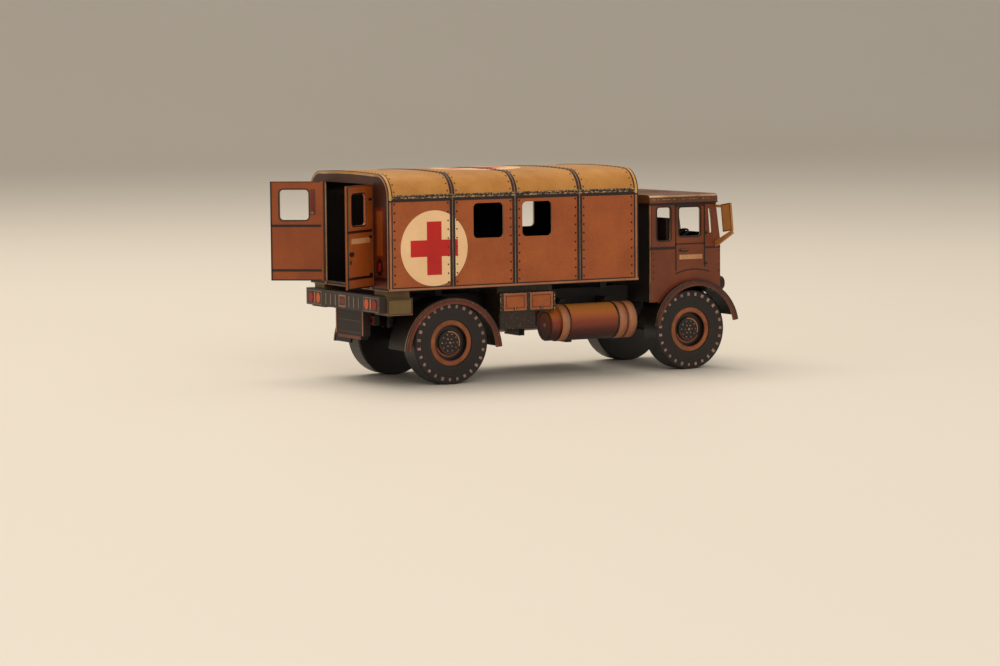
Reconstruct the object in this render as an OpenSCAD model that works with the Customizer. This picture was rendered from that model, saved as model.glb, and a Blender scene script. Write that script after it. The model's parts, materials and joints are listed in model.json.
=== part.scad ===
// Card model of a 1940s forward-control 4x4 military ambulance truck, 1:72 scale.
// Millimetres. +X is forward, +Y is the truck's left, +Z is up, and z = 0 is the ground.
// The origin is on the ground, in the middle of the overall length and width at rest.

/* [Wheels] */
// Distance between the two axles
wheelbase = 53.4; // [50:0.1:58]
// Outer radius of a tyre
tyre_r = 7.87; // [7.2:0.01:8.1]
// Width of a tyre
tyre_w = 4.7; // [3.6:0.1:5.2]
// Distance between the outer faces of the tyres of one axle
track_w = 28; // [27:0.1:29]
// Bevel of a tyre's shoulders
tyre_bevel = 0.25; // [0.1:0.05:0.5]
// Outer radius of the wheel rim
rim_r = 4.42; // [3.9:0.01:5]
// Width of the rim's flat ring
rim_ring_w = 1.1; // [0.6:0.1:1.4]
// Depth of the dished ring behind the rim
dish_depth = 0.9; // [0.4:0.1:1.4]
// Radius of the raised hub plate
hub_r = 2.3; // [1.6:0.1:2.6]
// Height of the hub plate above the dish
hub_h = 0.4; // [0.2:0.1:0.7]
// Setback of the rim's face from the tyre's face
rim_setback = 0.2; // [0.1:0.05:0.5]
// Radius of the rods that the wheels turn on
axle_r = 0.6; // [0.5:0.05:0.8]
// Radial clearance of a wheel on its rod
axle_clearance = 0.06; // [0.03:0.01:0.1]
// Length of rod inside a wheel
axle_seat_l = 2.6; // [1.5:0.1:3]
// Gap between a wheel's inner face and the axle tube
wheel_gap = 0.3; // [0.2:0.05:0.5]
// Radius of the axle tubes
axle_tube_r = 1.3; // [1:0.1:1.6]
// Radius of the rear axle's gear case
gear_case_r = 2.6; // [2:0.1:3]

/* [Chassis] */
// Height of the underside of the frame rails
rail_z = 13.2; // [12.6:0.1:13.8]
// Height of a frame rail's section
rail_h = 3.3; // [2.8:0.1:3.8]
// Thickness of a frame rail
rail_t = 1.2; // [0.8:0.1:1.4]
// Distance between the outer faces of the rails
frame_w = 12.4; // [11.4:0.1:13]
// Thickness of a cross member
cross_t = 1.2; // [0.8:0.1:1.6]
// Length of the wide cross member under the middle
pad_l = 6; // [4:0.5:8]
// Thickness of a bearer, along the truck
bearer_t = 1.4; // [1:0.1:2]
// Length of the bearers, across the truck
bearer_w = 18; // [17:0.5:18.5]
// Length of a rear spring
rear_spring_l = 18; // [15:0.5:20]
// Length of a front spring
front_spring_l = 11.6; // [10:0.1:12]
// Thickness of one spring leaf
leaf_t = 0.5; // [0.4:0.05:0.6]

/* [Body] */
// Length of the body
body_l = 54.35; // [52:0.05:54.4]
// Distance from the rear axle to the body's rear face
rear_overhang = 14.4; // [13:0.1:15.5]
// Width of the body
body_w = 33; // [32:0.1:36]
// Height of the body's underside
body_z = 18.24; // [18:0.02:19]
// Height of the body, floor to crown of the roof
body_h = 22; // [20:0.1:25]
// Radius of the roof's side curves
roof_corner_r = 4.4; // [3:0.1:6]
// Rise of the roof's middle over its side curves
roof_crown = 0.3; // [0.1:0.05:0.6]
// Height of the roof's straight skirt under its side curves
roof_skirt_h = 0.4; // [0.2:0.1:1]
// Thickness of the body's card
card_t = 0.5; // [0.35:0.05:0.7]
// Width of a side window
window_w = 6.5; // [5:0.1:7.5]
// Height of a side window
window_h = 6.6; // [5:0.1:7]
// Corner radius of the windows
window_corner = 0.9; // [0.4:0.1:1.4]
// Height of the side windows' sills
window_sill = 27.6; // [25:0.1:28]
// Distance from the rear axle to the middle of the right side's rear window
window_x = 6.9; // [6:0.1:9]
// Distance between the middles of the right side's windows
window_pitch = 10.55; // [9.6:0.05:14]
// Distance from the rear axle to the middle of the left side's rear window
left_window_x = 17.4; // [12:0.1:20]
// Distance between the middles of the left side's windows
left_window_pitch = 14.8; // [9.6:0.1:16]

/* [Rear doors] */
// Width of the doorway
doorway_w = 20.2; // [17:0.1:21]
// Height of the doorway's threshold over the floor
threshold_h = 0.2; // [0.1:0.1:0.6]
// Height of the doorway
doorway_h = 19.1; // [16:0.1:19.2]
// Thickness of a door
door_t = 0.45; // [0.3:0.05:0.6]
// Gap between a door and the rear wall when it is shut
door_gap = 0.08; // [0.05:0.01:0.15]
// Gap between the two shut doors
door_meet_gap = 0.2; // [0.1:0.05:0.4]
// Angle at which the left door stands open
left_open = 128; // [0:1:150]
// Angle at which the right door stands open
right_open = 126; // [0:1:150]
// Width of a door's window
door_window_w = 5.7; // [4:0.1:6]
// Height of a door's window
door_window_h = 5.8; // [4:0.1:6.2]
// Distance from a door's hinge to its window
door_window_x = 2.7; // [2:0.1:3]
// Distance from a door's top to its window
door_window_drop = 1.6; // [1:0.1:2]
// Corner radius of a door's window
door_window_corner = 0.7; // [0.4:0.1:1.2]

/* [Rear end] */
// Width of the lamp beam
beam_w = 31.2; // [29:0.1:32]
// Height of the lamp beam's section
beam_h = 3.2; // [2.6:0.1:3.6]
// Depth of the lamp beam, front to back
beam_d = 1.45; // [1.2:0.05:2]
// Gap between the body's underside and the lamp beam
beam_drop = 0.85; // [0.4:0.05:1.2]
// Width of the step box
step_w = 11.6; // [10:0.1:12.2]
// Depth of the step box, front to back
step_d = 1.5; // [1:0.1:2.5]
// Height of the step box
step_h = 5; // [4:0.1:6]
// Height of the lip under the step box
step_lip_h = 0.7; // [0.4:0.1:1]
// Thickness of the tail plate between the rails and the lamp beam
tail_t = 0.6; // [0.4:0.05:0.8]
// Width of a tow bracket
tow_w = 2.6; // [1.8:0.1:3]
// Height of a tow bracket
tow_h = 1.9; // [1.6:0.1:3]
// Length of a rear corner locker
corner_locker_l = 5.2; // [3.5:0.1:5.4]
// Height of a rear corner locker's face
corner_locker_h = 3.1; // [2.4:0.1:3.6]
// Distance between the outer faces of the corner lockers
corner_locker_w = 32; // [30:0.1:33]
// Height of the recessed hangers between the body and the lockers
hanger_h = 1.4; // [0.8:0.1:1.8]
// Setback of the hangers behind the lockers' faces
hanger_setback = 1.2; // [0.6:0.1:2]
// Depth of the lockers, in from their faces
locker_d = 5.4; // [4.5:0.1:5.8]

/* [Mudguards] */
// Thickness of a mudguard's sheet
guard_t = 0.45; // [0.35:0.05:0.5]
// How far a mudguard's face ring stands proud of its sheet
guard_lip = 0.08; // [0.05:0.01:0.15]
// Distance between the outer faces of the rear mudguards
rear_guard_w = 30.2; // [29.6:0.1:32]
// Distance between the outer faces of the front mudguards
front_guard_w = 32; // [31:0.1:33]
// Width of a rear mudguard's sheet, across the truck
rear_guard_d = 7.1; // [6.2:0.1:7.4]
// Outer radius of a rear mudguard
rear_guard_r = 10.3; // [10:0.05:10.6]
// Width of a rear mudguard's face ring
rear_face_w = 1.1; // [0.7:0.1:1.4]
// Width of a front mudguard's sheet, across the truck
front_guard_d = 6.8; // [5.5:0.1:7]
// Outer radius of a front mudguard
front_guard_r = 9.6; // [9.3:0.05:9.7]
// Width of a front mudguard's face ring
front_face_w = 0.95; // [0.6:0.05:1]
// Distance that a front mudguard sits ahead of its wheel
front_guard_ahead = 0.4; // [0:0.1:0.6]
// Angle over the horizontal at which a front mudguard's sheet ends in front
front_guard_start = 16; // [10:1:20]
// Angle at which a front mudguard's face ring ends in front
front_face_start = 10; // [6:1:15]
// Angle over the horizontal at which a front mudguard ends behind
front_guard_end = 172; // [160:1:176]

/* [Lockers and tanks] */
// Distance from the rear axle to a side locker
locker_x = 9.8; // [9.8:0.1:10.5]
// Length of a side locker
locker_l = 12; // [9:0.1:12.4]
// Height of a side locker's face
locker_h = 3.6; // [3:0.1:4]
// Width between the outer faces of the side lockers
locker_w = 31; // [30:0.1:32]
// Length of the deep box under a side locker
deep_box_l = 7.8; // [6:0.1:8.5]
// Height of the deep box
deep_box_h = 3.3; // [2.5:0.1:4]
// Length of a fuel tank
tank_l = 16.8; // [14:0.1:17]
// Radius of a fuel tank
tank_r = 3.5; // [3:0.05:3.7]
// Distance from the rear axle to a fuel tank
tank_x = 23.4; // [23:0.1:24]
// Distance from the truck's middle to a tank's axis
tank_y = 12.2; // [11.6:0.1:12.6]
// Height of a tank's axis
tank_z = 10.45; // [10.2:0.05:11]
// Radius of the dark cap on a tank's rear end
tank_cap_r = 3.05; // [2.6:0.05:3.2]
// Length of the tank's rear cap
tank_cap_l = 2; // [1:0.1:2.2]
// Distance that the cap's axis lies under the tank's
tank_cap_drop = 0.35; // [0:0.05:0.4]

/* [Cab] */
// Distance from the front axle back to the cab's rear face
cab_rear = 9.6; // [9.5:0.1:10.6]
// Distance from the front axle to the cab's front face
cab_front_l = 6.6; // [6:0.1:7.4]
// Width of the cab
cab_w = 29.4; // [28.8:0.1:30.4]
// Height of the cab's lower edge behind the wheel
cab_z = 13.6; // [12.8:0.1:14]
// Height of the waist, where the front starts to lean back
waist_z = 25.4; // [24:0.1:26]
// Height of the eaves, under the roof cap
eave_z = 32.7; // [31:0.1:34]
// Distance that the front leans back between the waist and the eaves
front_lean = 1; // [0.4:0.1:1.6]
// Height of the roof cap
cap_h = 1.8; // [1.4:0.1:2.4]
// Overhang of the roof cap past the walls
cap_over = 0.25; // [0.1:0.05:0.5]
// Edge radius of the roof cap
cap_r = 0.9; // [0.5:0.1:1.2]
// Thickness of the cab's card
cab_t = 0.45; // [0.35:0.05:0.6]
// Width of the door's window
cab_window_w = 4.9; // [4.2:0.1:5.4]
// Height of the door's window
cab_window_h = 5.6; // [5:0.1:5.8]
// Sill height of the door's window
cab_sill = 26.3; // [25.8:0.1:26.8]
// Distance from the cab's rear face to the door's window
cab_window_x = 6.65; // [6:0.05:7]
// Width of the quarter window behind the door
quarter_w = 3.1; // [2.6:0.1:3.6]
// Distance from the cab's rear face to the quarter window
quarter_x = 1.6; // [1.2:0.1:1.9]
// Width of the slit light ahead of the door
slit_w = 0.65; // [0.4:0.05:0.8]
// Distance from the cab's rear face to the slit light
slit_x = 13.4; // [13.2:0.1:13.6]
// Width of one windscreen opening
screen_w = 12.2; // [10:0.1:12.4]
// Height of the windscreen openings
screen_h = 5.6; // [4.6:0.1:6]
// Sill height of the windscreen
screen_sill = 26.6; // [26:0.1:27]
// Width of the post between the windscreen openings
screen_post_w = 1; // [0.6:0.1:1.6]

/* [Cab fittings] */
// Width of a seat
seat_w = 8.6; // [7:0.1:9]
// Depth of a seat's cushion
seat_d = 5; // [4:0.1:5.5]
// Thickness of a seat's cushion
cushion_h = 1.2; // [0.8:0.1:1.6]
// Thickness of a seat's back
seat_back_t = 0.8; // [0.5:0.1:1.2]
// Height of a seat's top
seat_top_z = 29.9; // [27:0.1:30.5]
// Radius of the steering wheel
steer_r = 2.7; // [2:0.1:3]
// Radius of the steering wheel's rim section
steer_rim_r = 0.2; // [0.15:0.05:0.3]
// Lean of the steering column from the vertical
steer_lean = 25; // [15:1:35]
// Width of the radiator grille
grille_w = 9.6; // [8:0.1:11]
// Height of the radiator grille
grille_h = 9.8; // [8:0.1:10.4]
// Thickness of the radiator grille
grille_t = 0.6; // [0.4:0.1:0.8]
// Number of slots in the grille
grille_slots = 9; // [5:1:11]
// Radius of a headlamp
lamp_r = 1.35; // [1:0.05:1.6]
// Length of a headlamp
lamp_l = 1.1; // [0.8:0.1:1.6]
// Distance between the headlamps
lamp_spacing = 26.4; // [18:0.2:26.6]
// Width of the front bumper
bumper_w = 17.6; // [14:0.1:17.8]
// Height of the front bumper's section
bumper_h = 2.4; // [1.8:0.1:3]
// Width of a mirror
mirror_w = 3.2; // [2.4:0.1:3.6]
// Height of a mirror
mirror_h = 5.4; // [4:0.1:6]
// Tilt of the mirrors, with their feet outwards
mirror_tilt = 8; // [0:1:12]
// Distance from the truck's middle to a mirror's top inner corner
mirror_y = 16.8; // [16:0.1:18]

/* [Hidden] */
$fn = 96;
// Gap between curved pieces that seat on each other
seat_gap = 0.03;
door_w = doorway_w / 2 + door_t / 2 - door_meet_gap / 2;
door_open = max(left_open, right_open) >= 90 && min(left_open, right_open) <= 90
    ? 90 : abs(left_open - 90) < abs(right_open - 90) ? left_open : right_open;
// Furthest points behind the rear axle and ahead of it
rear_reach = rear_overhang + door_gap + door_t / 2 + door_w * sin(door_open)
    + door_t / 2 * abs(cos(door_open));
front_reach = wheelbase + front_guard_ahead + (front_guard_r + guard_lip) * cos(front_face_start);
rear_x = (rear_reach - front_reach) / 2;
front_x = rear_x + wheelbase;
front_guard_x = front_x + front_guard_ahead;

wheel_in = track_w / 2 - tyre_w;
body_x = rear_x - rear_overhang;
body_end_x = body_x + body_l;
floor_top = body_z + card_t;
crown_z = body_z + body_h;
curve_y = body_w / 2 - roof_corner_r;
curve_z = crown_z - roof_crown - roof_corner_r;
crown_y = curve_y + 0.25;
roof_z = curve_z - roof_skirt_h;
crown_r = (curve_y * curve_y + roof_crown * roof_crown) / (2 * roof_crown);
right_windows = [window_x, window_x + window_pitch];
left_windows = [left_window_x, left_window_x + left_window_pitch];
doorway_z = floor_top + threshold_h;
hinge_x = body_x - door_gap - door_t / 2;
hinge_y = doorway_w / 2 + door_t / 2;
rail_top = rail_z + rail_h;
beam_top = body_z - beam_drop;
beam_z = beam_top - beam_h;
tail_x = body_x + tail_t;
rear_guard_z = rail_top - guard_lip - seat_gap - rear_guard_r;
cab_x = front_x - cab_rear;
cab_end_x = front_x + cab_front_l;
cab_l = cab_end_x - cab_x;
seat_back_x = cab_x + 4.2;
front_bottom_z = 12.6;
cab_floor_z = tyre_r + front_guard_r + seat_gap;
grille_z = 14.2;
lamp_z = 16.7;
bumper_z = 10.2;
front_cross_x = front_x + 3.8;
mirror_x = cab_end_x - front_lean;
mirror_top = eave_z - 0.35;

// A flat outline (y, z) drawn out along X from x0
module along_x(x0, length) {
    translate([x0, 0, 0]) rotate([90, 0, 90]) linear_extrude(length) children();
}

// A flat outline (x, z) drawn out along Y from y0
module along_y(y0, length) {
    translate([0, y0 + length, 0]) rotate([90, 0, 0]) linear_extrude(length) children();
}

// A copy on the right (side = -1) or the left (side = 1) of what is drawn on the left
module on_side(side) {
    if (side < 0) mirror([0, 1, 0]) children();
    else children();
}

// Copies on both sides of what is drawn on the left
module both_sides() {
    for (side = [-1, 1]) on_side(side) children();
}

module box(low, high) {
    translate(low) cube(high - low);
}

module round_rect(w, h, r) {
    translate([r, 0]) square([w - 2 * r, h]);
    translate([0, r]) square([w, h - 2 * r]);
    for (x = [r, w - r], y = [r, h - r]) translate([x, y]) circle(r);
}

// The body's section: upright sides, round shoulders and a low crown
module body_section(inset) {
    intersection() {
        union() {
            translate([inset - body_w / 2, body_z]) square([body_w - 2 * inset, curve_z - body_z]);
            translate([-crown_y, body_z]) square([2 * crown_y, body_h]);
            for (side = [-1, 1]) translate([side * curve_y, curve_z]) circle(roof_corner_r - inset);
        }
        translate([0, crown_z - crown_r]) circle(crown_r - inset, $fn = 720);
    }
}

module body_floor() {
    color("saddlebrown")
        box([body_x, -body_w / 2, body_z], [body_end_x, body_w / 2, floor_top]);
}

module body_side(side) {
    color("peru") on_side(side)
        along_y(body_w / 2 - card_t, card_t) difference() {
            translate([body_x, floor_top]) square([body_l, roof_z - floor_top]);
            for (x = side < 0 ? right_windows : left_windows)
                translate([rear_x + x - window_w / 2, window_sill])
                    round_rect(window_w, window_h, window_corner);
        }
}

// An end wall fits inside the sides and under the roof
module end_wall(x0) {
    along_x(x0, card_t) intersection() {
        body_section(card_t);
        translate([-body_w, floor_top]) square([2 * body_w, body_h]);
    }
}

module body_front_wall() {
    color("sienna") end_wall(body_end_x - card_t);
}

module body_rear_wall() {
    color("sienna") difference() {
        end_wall(body_x);
        box([body_x - 1, -doorway_w / 2, doorway_z],
            [body_x + card_t + 1, doorway_w / 2, doorway_z + doorway_h]);
    }
}

module body_roof() {
    color("burlywood") along_x(body_x, body_l) difference() {
        intersection() {
            body_section(0);
            translate([-body_w, roof_z]) square([2 * body_w, body_h]);
        }
        body_section(card_t);
    }
}

// A door is drawn shut, on the left, then swung out about its round hinge edge
module rear_door(side, open_angle) {
    color("peru") on_side(side)
        translate([hinge_x, hinge_y, doorway_z]) rotate([0, 0, -open_angle]) {
            difference() {
                translate([-door_t / 2, -door_w, 0]) cube([door_t, door_w, doorway_h]);
                along_x(-door_t, 2 * door_t)
                    translate([-door_window_x - door_window_w, doorway_h - door_window_drop - door_window_h])
                        round_rect(door_window_w, door_window_h, door_window_corner);
            }
            cylinder(r = door_t / 2, h = doorway_h);
        }
}

module lamp_beam() {
    color("saddlebrown")
        box([body_x - beam_d, -beam_w / 2, beam_z], [body_x, beam_w / 2, beam_top]);
}

// The step box hangs under the rails; its rear plate runs up to the lamp beam
module step_box() {
    step_z = beam_z - step_h;
    color([0.16, 0.09, 0.05]) {
        box([body_x, -step_w / 2, step_z], [body_x + step_d, step_w / 2, rail_z]);
        box([body_x, -step_w / 2, rail_z], [body_x + tail_t, step_w / 2, beam_z]);
        box([body_x, -step_w / 2 + 1, step_z - step_lip_h], [body_x + step_d, step_w / 2, step_z]);
    }
}

module tow_brackets() {
    color([0.25, 0.14, 0.08]) both_sides()
        translate([body_x + step_d, frame_w / 2 - rail_t, rail_z - tow_h]) difference() {
            cube([1, tow_w, tow_h]);
            translate([-1, tow_w / 2, tow_h / 2]) rotate([0, 90, 0]) cylinder(r = 0.45, h = 3, $fn = 32);
        }
}

module corner_locker(side) {
    face_y = corner_locker_w / 2;
    top_z = body_z - hanger_h;
    color("tan") on_side(side) {
        box([body_x, face_y - locker_d, top_z - corner_locker_h],
            [body_x + corner_locker_l, face_y, top_z]);
        box([body_x, face_y - locker_d, top_z],
            [body_x + corner_locker_l, face_y - hanger_setback, body_z]);
    }
}

module side_locker(side) {
    x0 = rear_x + locker_x;
    face_y = locker_w / 2;
    top_z = body_z - hanger_h;
    color("chocolate") on_side(side) {
        box([x0, face_y - locker_d, top_z - locker_h], [x0 + locker_l, face_y, top_z]);
        box([x0, face_y - locker_d, top_z], [x0 + locker_l, face_y - hanger_setback, body_z]);
        box([x0, face_y - locker_d, top_z - locker_h - deep_box_h],
            [x0 + deep_box_l, face_y - 0.3, top_z - locker_h]);
    }
}

module fuel_tank(side) {
    x0 = rear_x + tank_x;
    color("chocolate") on_side(side) translate([x0, tank_y, tank_z]) rotate([0, 90, 0]) {
        cylinder(r = tank_r, h = tank_l);
        translate([tank_cap_drop, 0, -tank_cap_l]) cylinder(r = tank_cap_r, h = tank_cap_l + 1);
    }
}

// Each cradle hangs from a rail and holds the inner side of a tank
module tank_cradles() {
    color([0.16, 0.09, 0.05]) both_sides() for (at = [0.2, 0.8]) difference() {
        box([rear_x + tank_x + at * tank_l - 0.6, frame_w / 2, tank_z - tank_r - 0.4],
            [rear_x + tank_x + at * tank_l + 0.6, tank_y, rail_z + 1.5]);
        translate([rear_x + tank_x - 1, tank_y, tank_z]) rotate([0, 90, 0])
            cylinder(r = tank_r + seat_gap, h = tank_l + 2);
        box([rear_x + tank_x - 1, tank_y - tank_r + 1.2, tank_z],
            [rear_x + tank_x + tank_l + 1, tank_y + 1, rail_z + 3]);
    }
}

// A ring sector in the XZ plane, from angle a0 to a1, across y0 to y1 on one side of the truck
module ring_sector(side, r_in, r_out, y0, y1, a0, a1) {
    translate([0, side > 0 ? y1 : -y0, 0]) rotate([90, 0, 0]) rotate([0, 0, a0])
        rotate_extrude(angle = a1 - a0) translate([r_in, 0]) square([r_out - r_in, y1 - y0]);
}

module rear_mudguard(side) {
    end_angle = asin((tyre_r - 1 - rear_guard_z) / rear_guard_r);
    y_out = rear_guard_w / 2;
    color("sienna") translate([rear_x, 0, rear_guard_z]) {
        ring_sector(side, rear_guard_r - guard_t, rear_guard_r, y_out - rear_guard_d, y_out - guard_t,
            end_angle, 180 - end_angle);
        ring_sector(side, rear_guard_r - rear_face_w, rear_guard_r + guard_lip, y_out - guard_t, y_out,
            end_angle - 0.5, 180.5 - end_angle);
    }
}

module front_mudguard(side) {
    y_out = front_guard_w / 2;
    color("sienna") translate([front_guard_x, 0, tyre_r]) {
        ring_sector(side, front_guard_r - guard_t, front_guard_r, y_out - front_guard_d, y_out - guard_t,
            front_guard_start, front_guard_end);
        ring_sector(side, front_guard_r - front_face_w, front_guard_r + guard_lip, y_out - guard_t, y_out,
            front_face_start, front_guard_end + 1);
    }
}

module frame_rails() {
    color([0.16, 0.09, 0.05]) both_sides()
        box([tail_x, frame_w / 2 - rail_t, rail_z], [cab_end_x - cab_t, frame_w / 2, rail_top]);
}

// Cross members between the rails; the wide one carries the flat pad under the truck
module cross_members() {
    inside = frame_w / 2 - rail_t;
    color([0.16, 0.09, 0.05]) {
        for (x = [tail_x, rear_x - 5, rear_x + 10, front_x - 8, front_cross_x])
            box([x, -inside, rail_z + 0.4], [x + cross_t, inside, rail_top - 0.4]);
        box([body_x, -bearer_w / 2, beam_z], [tail_x, bearer_w / 2, rail_top]);
        box([rear_x + wheelbase / 2 - pad_l / 2, -inside, rail_z],
            [rear_x + wheelbase / 2 + pad_l / 2, inside, rail_top - 0.4]);
    }
}

module body_bearers() {
    color([0.2, 0.11, 0.06])
        for (x = [-11, 0, 11.5, 24, 36.5])
            box([rear_x + x - bearer_t / 2, -bearer_w / 2, rail_top],
                [rear_x + x + bearer_t / 2, bearer_w / 2, body_z]);
}

// An axle tube with the thin rods that carry the two wheels
module axle(x) {
    tube_end = wheel_in - wheel_gap;
    translate([x, 0, tyre_r]) rotate([90, 0, 0]) {
        cylinder(r = axle_tube_r, h = 2 * tube_end, center = true);
        cylinder(r = axle_r, h = 2 * (wheel_in + axle_seat_l), center = true);
    }
}

module front_axle() {
    color([0.2, 0.11, 0.06]) axle(front_x);
}

module rear_axle() {
    color([0.2, 0.11, 0.06]) {
        axle(rear_x);
        translate([rear_x, 0, tyre_r]) rotate([0, 90, 0])
            cylinder(r = gear_case_r, h = 3.4, center = true);
    }
}

// A stack of leaves between an axle tube and the rail over it, hung at both ends
module leaf_spring(x, spring_l) {
    y0 = frame_w / 2 - rail_t;
    seat_z = tyre_r + axle_tube_r;
    leaf_z = seat_z + 0.5;
    shackle = spring_l / 2 - 0.4;
    for (i = [0, 1, 2]) {
        half = spring_l / 2 * (0.5 + i / 4);
        box([x - half, y0, leaf_z + i * leaf_t], [x + half, y0 + rail_t, leaf_z + (i + 1) * leaf_t]);
    }
    box([x - 1, y0, seat_z], [x + 1, y0 + rail_t, leaf_z]);
    for (s = [-1, 1])
        box([x + s * shackle - 0.4, y0 + 0.2, leaf_z + 3 * leaf_t],
            [x + s * shackle + 0.4, y0 + rail_t - 0.2, rail_z]);
}

module leaf_springs() {
    color([0.12, 0.07, 0.04]) both_sides() {
        leaf_spring(rear_x, rear_spring_l);
        leaf_spring(front_x, front_spring_l);
    }
}

module cab_floor() {
    color([0.16, 0.09, 0.05])
        box([cab_x + cab_t, -cab_w / 2 + cab_t, cab_floor_z],
            [cab_end_x - cab_t, cab_w / 2 - cab_t, cab_floor_z + cab_t]);
}

// The rear wall stands astride the frame
module cab_rear_wall() {
    color([0.16, 0.09, 0.05]) difference() {
        box([cab_x, -cab_w / 2 + cab_t, cab_z], [cab_x + cab_t, cab_w / 2 - cab_t, eave_z]);
        box([cab_x - 1, -frame_w / 2, cab_z - 1], [cab_x + 1, frame_w / 2, rail_top]);
    }
}

// Side of the cab with its windows, cut round the mudguard
module cab_side(side) {
    color("peru") on_side(side) along_y(cab_w / 2 - cab_t, cab_t) difference() {
        polygon([
            [cab_x, cab_z], [cab_end_x, cab_z], [cab_end_x, waist_z],
            [cab_end_x - front_lean, eave_z], [cab_x, eave_z]
        ]);
        translate([front_guard_x, tyre_r]) circle(front_guard_r + seat_gap);
        translate([cab_x + cab_window_x, cab_sill])
            round_rect(cab_window_w, cab_window_h, 0.5);
        translate([cab_x + quarter_x, cab_sill - 0.7])
            round_rect(quarter_w, cab_window_h + 0.8, 0.5);
        polygon([
            [cab_x + slit_x, cab_sill + cab_window_h - 0.3],
            [cab_x + slit_x + slit_w, cab_sill + cab_window_h - 0.5],
            [cab_x + slit_x + slit_w + 0.35, cab_sill],
            [cab_x + slit_x + 0.35, cab_sill + 0.5]
        ]);
    }
}

// Front between the sides: upright to the waist, then leaning back, with two openings
module cab_front() {
    color("peru") difference() {
        along_y(-cab_w / 2 + cab_t, cab_w - 2 * cab_t) polygon([
            [cab_end_x - cab_t, front_bottom_z], [cab_end_x, front_bottom_z], [cab_end_x, waist_z],
            [cab_end_x - front_lean, eave_z], [cab_end_x - front_lean - cab_t, eave_z],
            [cab_end_x - cab_t, waist_z]
        ]);
        both_sides()
            box([cab_end_x - 4, screen_post_w / 2, screen_sill],
                [cab_end_x + 1, screen_post_w / 2 + screen_w, screen_sill + screen_h]);
        both_sides() translate([front_guard_x, track_w / 2 - tyre_w - 0.5, tyre_r]) rotate([-90, 0, 0])
            cylinder(r = front_guard_r + seat_gap, h = 10);
    }
}

// A shallow cap, open below, on top of the four walls
module cab_roof() {
    half = cab_w / 2 + cap_over;
    x0 = cab_x - cap_over;
    x1 = cab_end_x - front_lean + cap_over;
    color("peru") difference() {
        along_x(x0, x1 - x0) difference() {
            translate([-half, eave_z]) square([2 * half, cap_h]);
            for (side = [-1, 1]) translate([side * half, eave_z + cap_h]) difference() {
                square(2 * cap_r, center = true);
                translate([-side * cap_r, -cap_r]) circle(cap_r);
            }
        }
        box([x0 + cab_t + cap_over, -half + cab_t + cap_over, eave_z - 1],
            [x1 - cab_t - cap_over, half - cab_t - cap_over, eave_z + cap_h - cab_t - cap_r / 2]);
    }
}

module cab_seats() {
    floor_z = cab_floor_z + cab_t;
    y_out = cab_w / 2 - cab_t - 0.4;
    seat_z = 22.5;
    color([0.14, 0.08, 0.05]) both_sides() {
        box([seat_back_x, y_out - seat_w, floor_z], [seat_back_x + seat_back_t, y_out, seat_top_z]);
        box([seat_back_x + seat_back_t, y_out - seat_w, seat_z - cushion_h],
            [seat_back_x + seat_back_t + seat_d, y_out, seat_z]);
        box([seat_back_x + seat_back_t, y_out - seat_w + 0.8, floor_z],
            [seat_back_x + seat_back_t + seat_d - 1, y_out - 0.8, seat_z - cushion_h]);
    }
}

// The driver sits on the right
module steering_wheel() {
    floor_z = cab_floor_z + cab_t;
    column_l = 9.6;
    color([0.12, 0.07, 0.05])
        translate([cab_end_x - 1.6, -8.2, floor_z]) difference() {
            translate([0, 0, -2]) rotate([0, -steer_lean, 0]) {
                cylinder(r = 0.35, h = column_l + 2, $fn = 32);
                translate([0, 0, column_l + 1.6]) {
                    rotate_extrude() translate([steer_r, 0]) circle(steer_rim_r, $fn = 24);
                    for (a = [0, 120, 240]) rotate([0, 0, a]) rotate([0, 90, 0])
                        cylinder(r = 0.18, h = steer_r, $fn = 24);
                }
            }
            translate([-5, -5, -10]) cube([10, 10, 10]);
        }
}

module radiator_grille() {
    slot_pitch = (grille_w - 1.2) / grille_slots;
    color("peru") difference() {
        box([cab_end_x, -grille_w / 2, grille_z], [cab_end_x + grille_t, grille_w / 2, grille_z + grille_h]);
        for (i = [0 : grille_slots - 1])
            translate([cab_end_x + 0.3, -grille_w / 2 + 0.6 + (i + 0.25) * slot_pitch, grille_z + 0.8])
                cube([grille_t, slot_pitch / 2, grille_h - 1.6]);
    }
}

module headlamps() {
    color([0.12, 0.08, 0.05]) for (side = [-1, 1])
        translate([cab_end_x, side * lamp_spacing / 2, lamp_z]) rotate([0, 90, 0])
            cylinder(r = lamp_r, h = lamp_l);
}

module front_bumper() {
    color([0.2, 0.11, 0.06]) {
        box([cab_end_x, -bumper_w / 2, bumper_z], [cab_end_x + 1, bumper_w / 2, bumper_z + bumper_h]);
        both_sides() {
            box([front_cross_x, 3, bumper_z], [cab_end_x, 4.2, bumper_z + bumper_h - 0.4]);
            box([front_cross_x, 3, bumper_z + bumper_h - 0.4], [front_cross_x + cross_t, 4.2, rail_z + 0.4]);
        }
    }
}

// A plate on a top arm and a slanting foot, both fixed to the cab's front edge
module mirror_plate(side) {
    cab_y = cab_w / 2;
    color("tan") on_side(side) {
        translate([mirror_x, mirror_y, mirror_top]) rotate([mirror_tilt, 0, 0])
            translate([-0.2, 0, -mirror_h]) cube([0.4, mirror_w, mirror_h]);
        box([mirror_x - 0.2, cab_y, mirror_top - 0.6], [mirror_x + 0.2, mirror_y + 0.4, mirror_top - 0.1]);
        along_x(mirror_x - 0.2, 0.4) polygon([
            [cab_y, 23.9], [cab_y, 25.1], [mirror_y + mirror_w + 0.5, mirror_top - mirror_h + 0.5],
            [mirror_y + mirror_w + 0.9, mirror_top - mirror_h - 0.1]
        ]);
    }
}

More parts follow.
